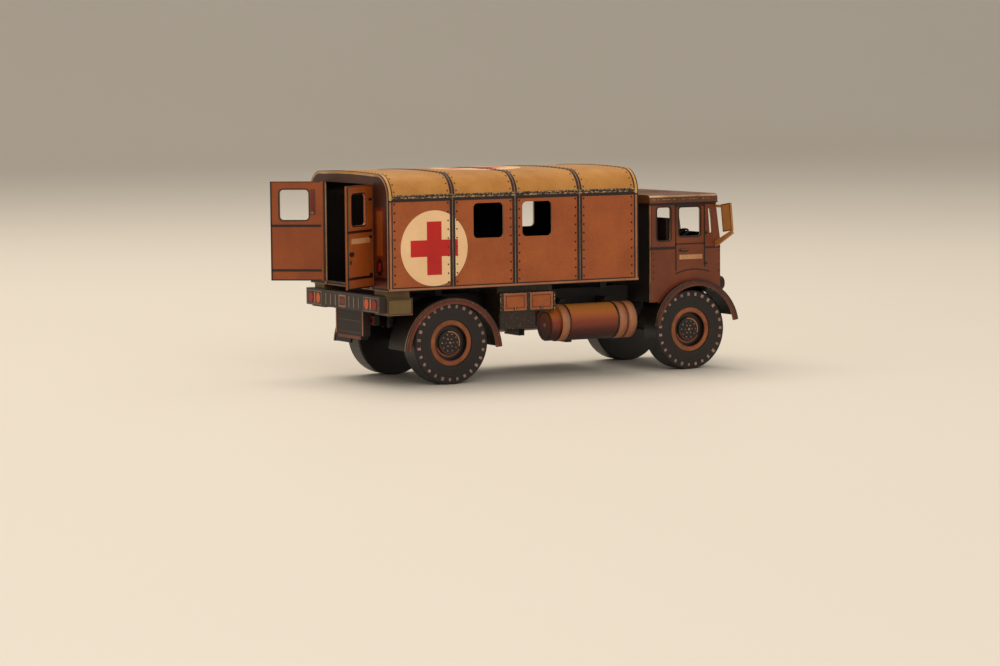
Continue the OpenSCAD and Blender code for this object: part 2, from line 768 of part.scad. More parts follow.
module tyre(x, side) {
    y_out = track_w / 2;
    color([0.08, 0.06, 0.05]) on_side(side) translate([x, y_out, tyre_r]) rotate([90, 0, 0])
        rotate_extrude() polygon([
            [rim_r, 0], [tyre_r - tyre_bevel, 0], [tyre_r, tyre_bevel],
            [tyre_r, tyre_w - tyre_bevel], [tyre_r - tyre_bevel, tyre_w], [rim_r, tyre_w]
        ]);
}

// The wheel: flat rim ring, dish, raised hub plate, and a blind bore from behind
module wheel(x, side) {
    dish = rim_setback + dish_depth;
    color("sienna") on_side(side) translate([x, track_w / 2, tyre_r]) rotate([90, 0, 0]) difference() {
        rotate_extrude() polygon([
            [0, dish - hub_h], [hub_r, dish - hub_h], [hub_r, dish], [rim_r - rim_ring_w, dish],
            [rim_r - rim_ring_w, rim_setback], [rim_r, rim_setback], [rim_r, tyre_w], [0, tyre_w]
        ]);
        translate([0, 0, tyre_w - axle_seat_l - axle_clearance])
            cylinder(r = axle_r + axle_clearance, h = axle_seat_l + 1);
    }
}

frame_rails();
cross_members();
body_bearers();
front_axle();
rear_axle();
leaf_springs();
body_floor();
body_side(-1);  // body_side_right
body_side(1);  // body_side_left
body_front_wall();
body_rear_wall();
body_roof();
rear_door(-1, right_open);  // rear_door_right
rear_door(1, left_open);  // rear_door_left
lamp_beam();
step_box();
tow_brackets();
corner_locker(-1);  // corner_locker_right
corner_locker(1);  // corner_locker_left
side_locker(-1);  // side_locker_right
side_locker(1);  // side_locker_left
fuel_tank(-1);  // fuel_tank_right
fuel_tank(1);  // fuel_tank_left
tank_cradles();
rear_mudguard(-1);  // rear_mudguard_right
rear_mudguard(1);  // rear_mudguard_left
front_mudguard(-1);  // front_mudguard_right
front_mudguard(1);  // front_mudguard_left
cab_floor();
cab_rear_wall();
cab_side(-1);  // cab_side_right
cab_side(1);  // cab_side_left
cab_front();
cab_roof();
cab_seats();
steering_wheel();
radiator_grille();
headlamps();
front_bumper();
mirror_plate(-1);  // mirror_right
mirror_plate(1);  // mirror_left
tyre(rear_x, -1);  // tyre_rear_right
wheel(rear_x, -1);  // wheel_rear_right
tyre(rear_x, 1);  // tyre_rear_left
wheel(rear_x, 1);  // wheel_rear_left
tyre(front_x, -1);  // tyre_front_right
wheel(front_x, -1);  // wheel_front_right
tyre(front_x, 1);  // tyre_front_left
wheel(front_x, 1);  // wheel_front_left
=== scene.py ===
import json
import math

import bmesh
import bpy
from mathutils import Matrix, Vector
from mathutils.geometry import tessellate_polygon


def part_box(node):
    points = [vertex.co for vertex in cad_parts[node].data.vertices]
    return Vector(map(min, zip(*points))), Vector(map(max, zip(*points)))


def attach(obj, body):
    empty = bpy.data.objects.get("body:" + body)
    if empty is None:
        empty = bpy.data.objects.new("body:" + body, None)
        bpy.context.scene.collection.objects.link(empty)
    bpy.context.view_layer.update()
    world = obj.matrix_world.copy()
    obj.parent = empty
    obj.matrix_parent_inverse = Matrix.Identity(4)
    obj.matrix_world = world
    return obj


# Looks of a 1:72 card ambulance truck: printed faces, card edges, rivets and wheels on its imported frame.
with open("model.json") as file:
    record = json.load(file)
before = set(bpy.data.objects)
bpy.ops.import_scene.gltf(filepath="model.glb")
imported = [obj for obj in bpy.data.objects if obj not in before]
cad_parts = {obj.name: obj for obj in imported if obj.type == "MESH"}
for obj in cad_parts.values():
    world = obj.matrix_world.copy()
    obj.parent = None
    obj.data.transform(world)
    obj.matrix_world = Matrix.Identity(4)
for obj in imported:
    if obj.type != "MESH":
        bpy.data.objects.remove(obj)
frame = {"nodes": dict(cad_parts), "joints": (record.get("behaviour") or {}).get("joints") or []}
for spare in ("Cube", "Light", "Camera"):
    if spare in bpy.data.objects:
        bpy.data.objects.remove(bpy.data.objects[spare])
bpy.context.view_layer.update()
print("frame loaded:", len(frame["nodes"]), "nodes")

scene = bpy.context.scene
scene.view_settings.view_transform = "Standard"


# ---- places, all in millimetres on the truck's own axes

def spanOf(node):
    low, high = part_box(node)
    return [v * 1000 for v in low], [v * 1000 for v in high]


def middleOf(node):
    low, high = spanOf(node)
    return [(a + b) / 2 for a, b in zip(low, high)]


axleX = middleOf("wheel_rear_right")[0]
frontAxleX = middleOf("wheel_front_right")[0]
wheelZ = middleOf("wheel_rear_right")[2]
roofLow, roofHigh = spanOf("body_roof")
floorLow, floorHigh = spanOf("body_floor")
cabLow, cabHigh = spanOf("cab_side_left")
capLow, capHigh = spanOf("cab_roof")
bodyRearX, bodyFrontX = floorLow[0], floorHigh[0]
bodyHalf, cabHalf, capHalf = floorHigh[1], cabHigh[1], capHigh[1]
cabRearX, cabFrontX = cabLow[0], cabHigh[0]

shell = {"shoulderR": 4.4, "crownRise": 0.3, "skirt": 0.4}       # the body's rounded top
shell["flatHalf"] = bodyHalf - shell["shoulderR"]
shell["shoulderZ"] = roofHigh[2] - shell["crownRise"] - shell["shoulderR"]
shell["crownR"] = (shell["flatHalf"] ** 2 + shell["crownRise"] ** 2) / (2 * shell["crownRise"])
cabShape = {"waistZ": 25.4, "lean": 1.0, "eaveZ": capLow[2]}     # the front leans back over its waist


# ---- card and inks

def linear(colour):
    parts = [int(colour[i:i + 2], 16) / 255 for i in (1, 3, 5)]
    return tuple(c / 12.92 if c <= 0.04045 else ((c + 0.055) / 1.055) ** 2.4 for c in parts) + (1.0,)


def addNode(tree, kind, inputs=None, **settings):
    made = tree.nodes.new(kind)
    for key, value in settings.items():
        setattr(made, key, value)
    for key, value in (inputs or {}).items():
        if isinstance(value, bpy.types.NodeSocket):
            tree.links.new(value, made.inputs[key])
        else:
            made.inputs[key].default_value = value
    return made


def mathOf(tree, operation, first, second=0.0):
    return addNode(tree, "ShaderNodeMath", {0: first, 1: second}, operation=operation).outputs[0]


def cutDepth(tree, place, terms):
    # how far a point lies behind the printed face: 0 on it, the card's thickness on its back
    split = addNode(tree, "ShaderNodeSeparateXYZ", {0: place})
    x, z = split.outputs[0], split.outputs[2]
    y = mathOf(tree, "ABSOLUTE", split.outputs[1])
    depth = None
    for kind, values, reach in terms:
        if kind == "plane":
            total = mathOf(tree, "MULTIPLY", x, values[0])
            total = mathOf(tree, "ADD", total, mathOf(tree, "MULTIPLY", y, values[1]))
            total = mathOf(tree, "ADD", total, mathOf(tree, "MULTIPLY", z, values[2]))
        else:
            across = x if kind == "wheel arch" else y
            a = mathOf(tree, "SUBTRACT", across, values[0])
            b = mathOf(tree, "SUBTRACT", z, values[1])
            if kind == "shoulder":
                a, b = mathOf(tree, "MAXIMUM", a, 0.0), mathOf(tree, "MAXIMUM", b, 0.0)
            flat = addNode(tree, "ShaderNodeCombineXYZ", {0: a, 1: b})
            total = addNode(tree, "ShaderNodeVectorMath", {0: flat.outputs[0]}, operation="LENGTH").outputs["Value"]
        part = mathOf(tree, "SUBTRACT", reach, total)
        depth = part if depth is None else mathOf(tree, "MINIMUM", depth, part)
    return depth


def printedCard(name, look, backs=None, paintedShading=None):
    made = bpy.data.materials.new(name)
    made.use_nodes = True
    tree = made.node_tree
    shader = tree.nodes["Principled BSDF"]
    coords = addNode(tree, "ShaderNodeTexCoord").outputs["Object"]
    place = addNode(tree, "ShaderNodeMapping", {"Vector": coords, "Scale": (1000, 1000, 1000)}).outputs[0]
    cloud = addNode(tree, "ShaderNodeTexNoise", {"Vector": place, "Scale": 1 / look.get("cloudMm", 6), "Detail": 4,
                                                 "Roughness": 0.6}).outputs[0]
    grain = addNode(tree, "ShaderNodeTexNoise", {"Vector": place, "Scale": 1 / look.get("grainMm", 0.32), "Detail": 3,
                                                 "Roughness": 0.7}).outputs[0]
    spread = addNode(tree, "ShaderNodeMapRange", {"Value": cloud, "From Min": 0.3, "From Max": 0.7}).outputs[0]
    # painted light and shade: the colour runs by height from near-black at the bottom to light at the top
    if paintedShading:
        height = addNode(tree, "ShaderNodeSeparateXYZ", {0: place}).outputs[2]
        level = addNode(tree, "ShaderNodeMapRange", {"Value": height, "From Min": paintedShading["low"],
                                                     "From Max": paintedShading["high"]}).outputs[0]
        bands = addNode(tree, "ShaderNodeValToRGB", {"Fac": level})
        bands.color_ramp.elements[0].color = linear(paintedShading["inks"][0])
        bands.color_ramp.elements[1].color = linear(paintedShading["inks"][-1])
        for at, ink in zip(paintedShading["stops"], paintedShading["inks"][1:-1]):
            bands.color_ramp.elements.new(at).color = linear(ink)
        colour = bands.outputs[0]
    else:
        colour = addNode(tree, "ShaderNodeMix", {0: spread, 6: linear(look["shade"]), 7: linear(look["ink"])},
                         data_type="RGBA").outputs[2]
    speckle = addNode(tree, "ShaderNodeMapRange", {"Value": grain, "From Min": 0.3, "From Max": 0.7,
                                                   "To Min": 1 - look.get("speckle", 0.12),
                                                   "To Max": 1 + look.get("speckle", 0.12)}).outputs[0]
    colour = addNode(tree, "ShaderNodeHueSaturation", {"Color": colour, "Value": speckle}).outputs[0]
    if look.get("scuff"):      # ink rubbed off down to the pale card
        rub = addNode(tree, "ShaderNodeTexNoise", {"Vector": place, "Scale": 1 / look.get("scuffMm", 0.45), "Detail": 5,
                                                   "Roughness": 0.75}).outputs[0]
        worn = addNode(tree, "ShaderNodeMapRange", {"Value": rub, "From Min": 0.62 - look["scuff"],
                                                    "From Max": 0.66 - look["scuff"] / 2,
                                                    "To Max": look.get("scuffDepth", 0.8)}).outputs[0]
        colour = addNode(tree, "ShaderNodeMix", {0: worn, 6: colour, 7: linear(look.get("bare", "#b89468"))},
                         data_type="RGBA").outputs[2]
    if backs:                  # the card's cut edge is pale; its back, seen inside the body and cab, is coloured near-black as painted shade of the interior
        depth = cutDepth(tree, place, backs["terms"])
        edge = addNode(tree, "ShaderNodeMapRange", {"Value": depth, "From Min": 0.08, "From Max": 0.14}).outputs[0]
        back = addNode(tree, "ShaderNodeMapRange", {"Value": depth, "From Min": backs["thick"] - 0.12,
                                                    "From Max": backs["thick"] - 0.06}).outputs[0]
        rim = addNode(tree, "ShaderNodeMix", {0: spread, 6: linear(backs.get("core", "#8d6a4a")),
                                              7: linear("#c3a585")}, data_type="RGBA").outputs[2]
        colour = addNode(tree, "ShaderNodeMix", {0: edge, 6: colour, 7: rim}, data_type="RGBA").outputs[2]
        # painted shade: the back of the card is made near-black where the interior lies in shadow
        colour = addNode(tree, "ShaderNodeMix", {0: back, 6: colour, 7: linear(backs.get("back", "#120804"))},
                         data_type="RGBA").outputs[2]
    sheen = look.get("roughness", 0.5)
    rough = addNode(tree, "ShaderNodeMapRange", {"Value": grain, "From Min": 0.3, "From Max": 0.7,
                                                 "To Min": sheen - 0.06, "To Max": sheen + 0.08}).outputs[0]
    fibre = addNode(tree, "ShaderNodeTexNoise", {"Vector": place, "Scale": 1 / 0.14, "Detail": 4}).outputs[0]
    relief = addNode(tree, "ShaderNodeBump", {"Height": fibre, "Strength": look.get("tooth", 0.3),
                                              "Distance": 0.00004}).outputs[0]
    tree.links.new(colour, shader.inputs["Base Color"])
    tree.links.new(rough, shader.inputs["Roughness"])
    tree.links.new(relief, shader.inputs["Normal"])
    shader.inputs["IOR"].default_value = look.get("ior", 1.47)
    return made


def plane(x, y, z, reach):
    return ("plane", (x, y, z), reach)


shoulderTerm = ("shoulder", (shell["flatHalf"], shell["shoulderZ"]), shell["shoulderR"])
leanSlope = cabShape["lean"] / (cabShape["eaveZ"] - cabShape["waistZ"])

# Laser print on thin card, satin: the toner leaves a soft sheen and a fine mottled grain.
brown = {"ink": "#a0511c", "shade": "#8d4315", "speckle": 0.13, "roughness": 0.46}
cards = {
    "sidePanelPrint": printedCard("sidePanelPrint", brown, {"terms": [shoulderTerm], "thick": 0.5}),
    # the roof's ink is paler than the sides' ink as painted light and sheen from above; it is also shinier and rubbed
    # at its folds
    "roofPanelPrint": printedCard("roofPanelPrint", {"ink": "#c08843", "shade": "#a9702f", "speckle": 0.1,
                                                     "roughness": 0.36}, {"terms": [shoulderTerm], "thick": 0.5}),
    # the end walls' ink is darker than the sides' ink as painted shade
    "endWallPrint": printedCard("endWallPrint", {"ink": "#4a210d", "shade": "#331507", "roughness": 0.5},
                                {"terms": [plane(-1, 0, 0, -bodyRearX), plane(1, 0, 0, bodyFrontX)], "thick": 0.5}),
    "doorPrint": printedCard("doorPrint", {"ink": "#99490f", "shade": "#843c10", "speckle": 0.12,
                                           "roughness": 0.48}),
    # the cab's ink is darker than the body's ink: painted shade
    "cabPrint": printedCard("cabPrint", {"ink": "#74350f", "shade": "#5c270a", "speckle": 0.13, "roughness": 0.44},
                            {"terms": [plane(0, 1, 0, cabHalf)], "thick": 0.45}),
    "cabFrontPrint": printedCard("cabFrontPrint", {"ink": "#7c3a12", "shade": "#64300f", "roughness": 0.46},
                                 {"terms": [plane(1, 0, 0, cabFrontX),
                                            plane(1, 0, leanSlope, cabFrontX + leanSlope * cabShape["waistZ"])],
                                  "thick": 0.45}),
    "capPrint": printedCard("capPrint", {"ink": "#6b3a16", "shade": "#51290f", "roughness": 0.4},
                            {"terms": [plane(0, 1, 0, capHalf), plane(0, 0, 1, capHigh[2]),
                                       plane(-1, 0, 0, -capLow[0]), plane(1, 0, 0, capHigh[0])], "thick": 0.7}),
    "rearGuardPrint": printedCard("rearGuardPrint", {"ink": "#6d3218", "shade": "#4c200d", "roughness": 0.45,
                                                     "scuff": 0.05, "scuffDepth": 0.4},
                                  {"terms": [("wheel arch", (axleX, middleOf("rear_mudguard_right")[2]), 30.0),
                                             plane(0, 1, 0, spanOf("rear_mudguard_left")[1][1])], "thick": 0.45,
                                   "core": "#3a1a0c"}),
    "frontGuardPrint": printedCard("frontGuardPrint", {"ink": "#5c3216", "shade": "#33200d", "roughness": 0.42,
                                                       "scuff": 0.1, "scuffDepth": 0.4, "bare": "#7d7048"},
                                   {"terms": [plane(0, 1, 0, spanOf("front_mudguard_left")[1][1])],
                                    "thick": 0.45, "core": "#3a1a0c"}),
    "chassisPrint": printedCard("chassisPrint", {"ink": "#1c0e07", "shade": "#0e0603", "roughness": 0.55}),
    "beamPrint": printedCard("beamPrint", {"ink": "#200b05", "shade": "#120502", "roughness": 0.42}),
    "tailLockerPrint": printedCard("tailLockerPrint", {"ink": "#6e5a2c", "shade": "#54401d", "roughness": 0.48}),
    "lockerPrint": printedCard("lockerPrint", {"ink": "#2a1709", "shade": "#140a05", "roughness": 0.5,
                                               "scuff": 0.05, "scuffMm": 0.3, "bare": "#6c6a44",
                                               "scuffDepth": 0.6}),
    # the tank is darker towards the bottom and lighter on top: painted shade and highlight of its round side
    "tankPrint": printedCard("tankPrint", {"speckle": 0.1, "roughness": 0.4, "ink": "#90461a", "shade": "#7a340f"},
                             paintedShading={"low": 6.9, "high": 14.0, "stops": [0.3, 0.55, 0.78],
                                   "inks": ["#120301", "#481002", "#7d3110", "#a55a1e", "#b97a3a"]}),
    "blackInk": printedCard("blackInk", {"ink": "#210b05", "shade": "#120402", "speckle": 0.2, "roughness": 0.38}),
    "brownLineInk": printedCard("brownLineInk", {"ink": "#3d1606", "shade": "#2a0c03", "roughness": 0.42}),
    "redBrownInk": printedCard("redBrownInk", {"ink": "#6d2610", "shade": "#55180a", "roughness": 0.44}),
    "orangeInk": printedCard("orangeInk", {"ink": "#a1551c", "shade": "#8b4214", "speckle": 0.15,
                                           "roughness": 0.44}),
    "foldInk": printedCard("foldInk", {"ink": "#a86f49", "shade": "#8d5433", "speckle": 0.15, "roughness": 0.44}),
    # the fold ink made lighter for the roof: painted light
    "goldFoldInk": printedCard("goldFoldInk", {"ink": "#d2a25c", "shade": "#b98642", "roughness": 0.36}),
    # black line rubbed through to bare card along a fold
    "rubbedEdgeInk": printedCard("rubbedEdgeInk", {"ink": "#2a1106", "shade": "#160803", "roughness": 0.36,
                                                   "scuff": 0.13, "scuffMm": 0.35, "bare": "#c9a878",
                                                   "scuffDepth": 0.85}),
    "seamInk": printedCard("seamInk", {"ink": "#8f7a66", "shade": "#5d4636", "speckle": 0.3, "roughness": 0.4}),
    "whiteInk": printedCard("whiteInk", {"ink": "#eac394", "shade": "#dfb586", "speckle": 0.035,
                                         "roughness": 0.45}),
    "redCrossInk": printedCard("redCrossInk", {"ink": "#bd0f03", "shade": "#a90a01", "speckle": 0.08,
                                               "roughness": 0.42}),
    "letterBarInk": printedCard("letterBarInk", {"ink": "#c08e62", "shade": "#a5714a", "speckle": 0.2}),
    "lampRedInk": printedCard("lampRedInk", {"ink": "#9e1405", "shade": "#700900", "grainMm": 0.5}),
    "lampOrangeInk": printedCard("lampOrangeInk", {"ink": "#cf5a24", "shade": "#a8380e", "grainMm": 0.5}),
    "tyrePrint": printedCard("tyrePrint", {"ink": "#170d09", "shade": "#0a0503", "speckle": 0.25,
                                           "roughness": 0.42}),
    "dashInk": printedCard("dashInk", {"ink": "#a58275", "shade": "#6d4c42", "speckle": 0.25, "cloudMm": 1.5}),
    "rimPrint": printedCard("rimPrint", {"ink": "#955422", "shade": "#6c3413", "speckle": 0.15, "cloudMm": 3}),
    "studInk": printedCard("studInk", {"ink": "#a08472", "shade": "#5b4034", "cloudMm": 0.8}),
    # the mirrors' cream card back coloured light brown: painted shade
    "mirrorPrint": printedCard("mirrorPrint", {"ink": "#b0763a", "shade": "#96602c", "roughness": 0.4}),
    "seatPrint": printedCard("seatPrint", {"ink": "#2b160b", "shade": "#190b05", "roughness": 0.5}),
}
print("card and inks:", len(cards))

nodeFinish = {
    # near-black card for the running gear; on cab_rear_wall it is painted shade between cab and body
    "chassisPrint": ["frame_rails", "cross_members", "body_bearers", "front_axle", "rear_axle", "leaf_springs",
                     "tank_cradles", "cab_floor", "cab_rear_wall", "steering_wheel", "body_floor",
                     "step_box", "tow_brackets"],
    "sidePanelPrint": ["body_side_right", "body_side_left"],
    "roofPanelPrint": ["body_roof"],
    "endWallPrint": ["body_front_wall", "body_rear_wall"],
    "doorPrint": ["rear_door_right", "rear_door_left"],
    "beamPrint": ["lamp_beam", "front_bumper", "headlamps"],
    "tailLockerPrint": ["corner_locker_right", "corner_locker_left"],
    "lockerPrint": ["side_locker_right", "side_locker_left"],
    "tankPrint": ["fuel_tank_right", "fuel_tank_left"],
    "rearGuardPrint": ["rear_mudguard_right", "rear_mudguard_left"],
    "frontGuardPrint": ["front_mudguard_right", "front_mudguard_left"],
    "cabPrint": ["cab_side_right", "cab_side_left"],
    "cabFrontPrint": ["cab_front", "radiator_grille"],
    "capPrint": ["cab_roof"],
    "seatPrint": ["cab_seats"],
    "mirrorPrint": ["mirror_right", "mirror_left"],
    "tyrePrint": ["tyre_rear_right", "tyre_rear_left", "tyre_front_right", "tyre_front_left",
                  "wheel_rear_right", "wheel_rear_left", "wheel_front_right", "wheel_front_left"],
}
for card, nodes in nodeFinish.items():
    for node in nodes:
        for holder in frame["nodes"][node].material_slots:
            holder.material = cards[card]
print("frame finished in", len(nodeFinish), "cards")


# ---- flat shapes, each a loop of (u, v) points in millimetres

def bar(u0, v0, u1, v1):
    return [(u0, v0), (u1, v0), (u1, v1), (u0, v1)]


def oval(u, v, ru, rv=None, count=48):
    rv = rv or ru
    return [(u + ru * math.cos(2 * math.pi * i / count), v + rv * math.sin(2 * math.pi * i / count))
            for i in range(count)]


def roundBar(u0, v0, u1, v1, r, count=6):
    points = []
    for cu, cv, start in ((u1 - r, v1 - r, 0), (u0 + r, v1 - r, 90), (u0 + r, v0 + r, 180), (u1 - r, v0 + r, 270)):
        for i in range(count + 1):
            a = math.radians(start + 90 * i / count)
            points.append((cu + r * math.cos(a), cv + r * math.sin(a)))
    return points


def crossShape(u, v, span, arm):
    s, a = span / 2, arm / 2
    return [(u + x, v + y) for x, y in ((-s, -a), (-a, -a), (-a, -s), (a, -s), (a, -a), (s, -a),
                                        (s, a), (a, a), (a, s), (-a, s), (-a, a), (-s, a))]


def arcBand(u, v, r0, r1, start, end, count=56):
    angles = [math.radians(start + (end - start) * i / count) for i in range(count + 1)]
    outer = [(u + r1 * math.cos(a), v + r1 * math.sin(a)) for a in angles]
    return outer + [(u + r0 * math.cos(a), v + r0 * math.sin(a)) for a in reversed(angles)]


def mark(ink, outline, holes=(), low=-0.03, high=0.03):
    return ink, outline, list(holes), low, high


def border(ink, u0, v0, u1, v1, width, r=0.0, high=0.04):
    if r:
        return mark(ink, roundBar(u0 - width, v0 - width, u1 + width, v1 + width, r + width),
                    [roundBar(u0, v0, u1, v1, r)], high=high)
    return mark(ink, bar(u0 - width, v0 - width, u1 + width, v1 + width), [bar(u0, v0, u1, v1)], high=high)


def addPiece(name, mesh, inks, body):
    for ink in inks:
        mesh.materials.append(cards[ink])
    piece = bpy.data.objects.new(name, mesh)
    scene.collection.objects.link(piece)
    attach(piece, body)
    return piece


def pressMarks(name, marks, place, body, cuts=()):
    # each mark is a thin closed slab, sunk in the card and standing a few hundredths proud
    sheet = bmesh.new()
    inks = []
    for ink, outline, holes, low, high in marks:
        if ink not in inks:
            inks.append(ink)
        loops = [outline] + holes
        triangles = tessellate_polygon([[Vector((u, v, 0)) for u, v in loop] for loop in loops])
        flat = [point for loop in loops for point in loop]
        top = [sheet.verts.new((u, v, high)) for u, v in flat]
        bottom = [sheet.verts.new((u, v, low)) for u, v in flat]
        faces = [sheet.faces.new([top[i] for i in t]) for t in triangles]
        faces += [sheet.faces.new([bottom[i] for i in reversed(t)]) for t in triangles]
        start = 0
        for loop in loops:
            count = len(loop)
            for i in range(count):
                a, b = start + i, start + (i + 1) % count
                faces.append(sheet.faces.new((top[a], top[b], bottom[b], bottom[a])))
            start += count
        for face in faces:
            face.material_index = inks.index(ink)
    for cut in cuts:
        everything = sheet.verts[:] + sheet.edges[:] + sheet.faces[:]
        bmesh.ops.bisect_plane(sheet, geom=everything, plane_co=(0, cut, 0), plane_no=(0, 1, 0))
    for vert in sheet.verts:
        vert.co = place(*vert.co) * 0.001
    bmesh.ops.recalc_face_normals(sheet, faces=sheet.faces[:])
    mesh = bpy.data.meshes.new(name)
    sheet.to_mesh(mesh)
    sheet.free()
    return addPiece(name, mesh, inks, body)


def onSide(side, half):
    return lambda u, v, h: Vector((axleX + u, side * (half + h), v))


def onRear(x):
    return lambda u, v, h: Vector((x - h, u, v))


def onFront(x):
    return lambda u, v, h: Vector((x + h, u, v))


# ---- small parts laid out by Geometry Nodes

def newTree(name, inputs):
    tree = bpy.data.node_groups.new(name, "GeometryNodeTree")
    for label, kind in inputs:
        tree.interface.new_socket(name=label, in_out="INPUT", socket_type=kind)
    tree.interface.new_socket(name="Geometry", in_out="OUTPUT", socket_type="NodeSocketGeometry")
    return tree, addNode(tree, "NodeGroupInput").outputs


def closeTree(tree, geometry, ink):
    solid = addNode(tree, "GeometryNodeRealizeInstances", {0: geometry}).outputs[0]
    inked = addNode(tree, "GeometryNodeSetMaterial", {"Geometry": solid, "Material": ink}).outputs[0]
    addNode(tree, "NodeGroupOutput", {0: inked})
    return tree


def buildRivetTree():
    tree, given = newTree("rivetRows", [("Geometry", "NodeSocketGeometry"), ("Head radius", "NodeSocketFloat"),
                                        ("Head height", "NodeSocketFloat"), ("Ink", "NodeSocketMaterial")])
    crown = addNode(tree, "ShaderNodeMath", {0: given["Head radius"], 1: 0.55}, operation="MULTIPLY").outputs[0]
    head = addNode(tree, "GeometryNodeMeshCone", {"Vertices": 10, "Radius Top": crown,
                                                  "Radius Bottom": given["Head radius"],
                                                  "Depth": given["Head height"]}).outputs[0]
    facing = addNode(tree, "GeometryNodeInputNamedAttribute", {"Name": "facing"},
                     data_type="FLOAT_VECTOR").outputs[0]
    turn = addNode(tree, "FunctionNodeAlignRotationToVector", {"Vector": facing}, axis="Z").outputs[0]
    rows = addNode(tree, "GeometryNodeInstanceOnPoints", {"Points": given["Geometry"], "Instance": head,
                                                          "Rotation": turn}).outputs[0]
    return closeTree(tree, rows, given["Ink"])


def buildDashTree():
    tree, given = newTree("sidewallDashes", [("Geometry", "NodeSocketGeometry"), ("Dash count", "NodeSocketInt"),
                                             ("Ring radius", "NodeSocketFloat"), ("Dash size", "NodeSocketVector"),
                                             ("Centre", "NodeSocketVector"), ("Seed", "NodeSocketInt"),
                                             ("Ink", "NodeSocketMaterial")])
    ring = addNode(tree, "GeometryNodeMeshCircle", {"Vertices": given["Dash count"],
                                                    "Radius": given["Ring radius"]}).outputs[0]
    dash = addNode(tree, "GeometryNodeMeshCube", {"Size": given["Dash size"]}).outputs[0]
    outward = addNode(tree, "GeometryNodeInputPosition").outputs[0]
    turn = addNode(tree, "FunctionNodeAlignRotationToVector", {"Vector": outward}, axis="X",
                   pivot_axis="Z").outputs[0]
    size = addNode(tree, "FunctionNodeRandomValue", {0: (0.75, 0.7, 1), 1: (1.15, 1.1, 1), "Seed": given["Seed"]},
                   data_type="FLOAT_VECTOR").outputs[0]
    dashes = addNode(tree, "GeometryNodeInstanceOnPoints", {"Points": ring, "Instance": dash, "Rotation": turn,
                                                            "Scale": size}).outputs[0]
    stood = addNode(tree, "GeometryNodeTransform", {"Geometry": dashes, "Translation": given["Centre"],
                                                    "Rotation": (math.pi / 2, 0, 0)}).outputs[0]
    return closeTree(tree, stood, given["Ink"])


def buildStudTree():
    tree, given = newTree("hubStuds", [("Geometry", "NodeSocketGeometry"), ("Inner count", "NodeSocketInt"),
                                       ("Outer count", "NodeSocketInt"), ("Inner radius", "NodeSocketFloat"),
                                       ("Outer radius", "NodeSocketFloat"), ("Stud radius", "NodeSocketFloat"),
                                       ("Stud height", "NodeSocketFloat"), ("Centre", "NodeSocketVector"),
                                       ("Tilt", "NodeSocketVector"), ("Ink", "NodeSocketMaterial")])
    top = addNode(tree, "ShaderNodeMath", {0: given["Stud radius"], 1: 0.6}, operation="MULTIPLY").outputs[0]
    stud = addNode(tree, "GeometryNodeMeshCone", {"Vertices": 10, "Radius Top": top,
                                                  "Radius Bottom": given["Stud radius"],
                                                  "Depth": given["Stud height"]}).outputs[0]
    inner = addNode(tree, "GeometryNodeMeshCircle", {"Vertices": given["Inner count"],
                                                     "Radius": given["Inner radius"]}).outputs[0]
    outer = addNode(tree, "GeometryNodeMeshCircle", {"Vertices": given["Outer count"],
                                                     "Radius": given["Outer radius"]}).outputs[0]
    rings = addNode(tree, "GeometryNodeJoinGeometry", {0: inner})
    tree.links.new(outer, rings.inputs[0])
    studs = addNode(tree, "GeometryNodeInstanceOnPoints", {"Points": rings.outputs[0], "Instance": stud}).outputs[0]
    stood = addNode(tree, "GeometryNodeTransform", {"Geometry": studs, "Translation": given["Centre"],
                                                    "Rotation": given["Tilt"]}).outputs[0]
    return closeTree(tree, stood, given["Ink"])


rivetTree, dashTree, studTree = buildRivetTree(), buildDashTree(), buildStudTree()


def growPiece(name, tree, values, body, mesh=None):
    holder = bpy.data.objects.new(name, mesh or bpy.data.meshes.new(name))
    scene.collection.objects.link(holder)
    maker = holder.modifiers.new(tree.name, "NODES")
    maker.node_group = tree
    for socket in tree.interface.items_tree:
        if socket.in_out == "INPUT" and socket.name in values:
            maker[socket.identifier] = values[socket.name]
    grown = bpy.data.meshes.new_from_object(holder.evaluated_get(bpy.context.evaluated_depsgraph_get()))
    holder.modifiers.remove(maker)
    holder.data = grown
    grown.name = name
    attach(holder, body)
    return holder


def rivetRows(name, points, body, radius=0.2, height=0.09, ink="blackInk"):
    # points are pairs: where a head sits and the way it faces
    mesh = bpy.data.meshes.new(name + "_points")
    mesh.from_pydata([tuple(p * 0.001) for p, n in points], [], [])
    facing = mesh.attributes.new("facing", "FLOAT_VECTOR", "POINT")
    for i, (p, n) in enumerate(points):
        facing.data[i].vector = n
    return growPiece(name, rivetTree, {"Head radius": radius * 0.001, "Head height": height * 0.001,
                                       "Ink": cards[ink]}, body, mesh)


def column(u, v0, v1, pitch):
    count = max(1, round((v1 - v0) / pitch))
    return [(u, v0 + (v1 - v0) * i / count) for i in range(count + 1)]


# ---- the body's long sides

bodyPrint = {"ribs": [-0.85, 12.6, 26.8], "ribWidth": 1.1, "seamWidth": 0.16, "rivetOut": 0.93, "rivetPitch": 1.73,
             "endRivets": [-13.05, 38.45], "stripTop": 18.82, "discX": -4.75, "discZ": 26.05, "discR": 7.08,
             "crossSpan": 10.0, "crossArm": 3.1}


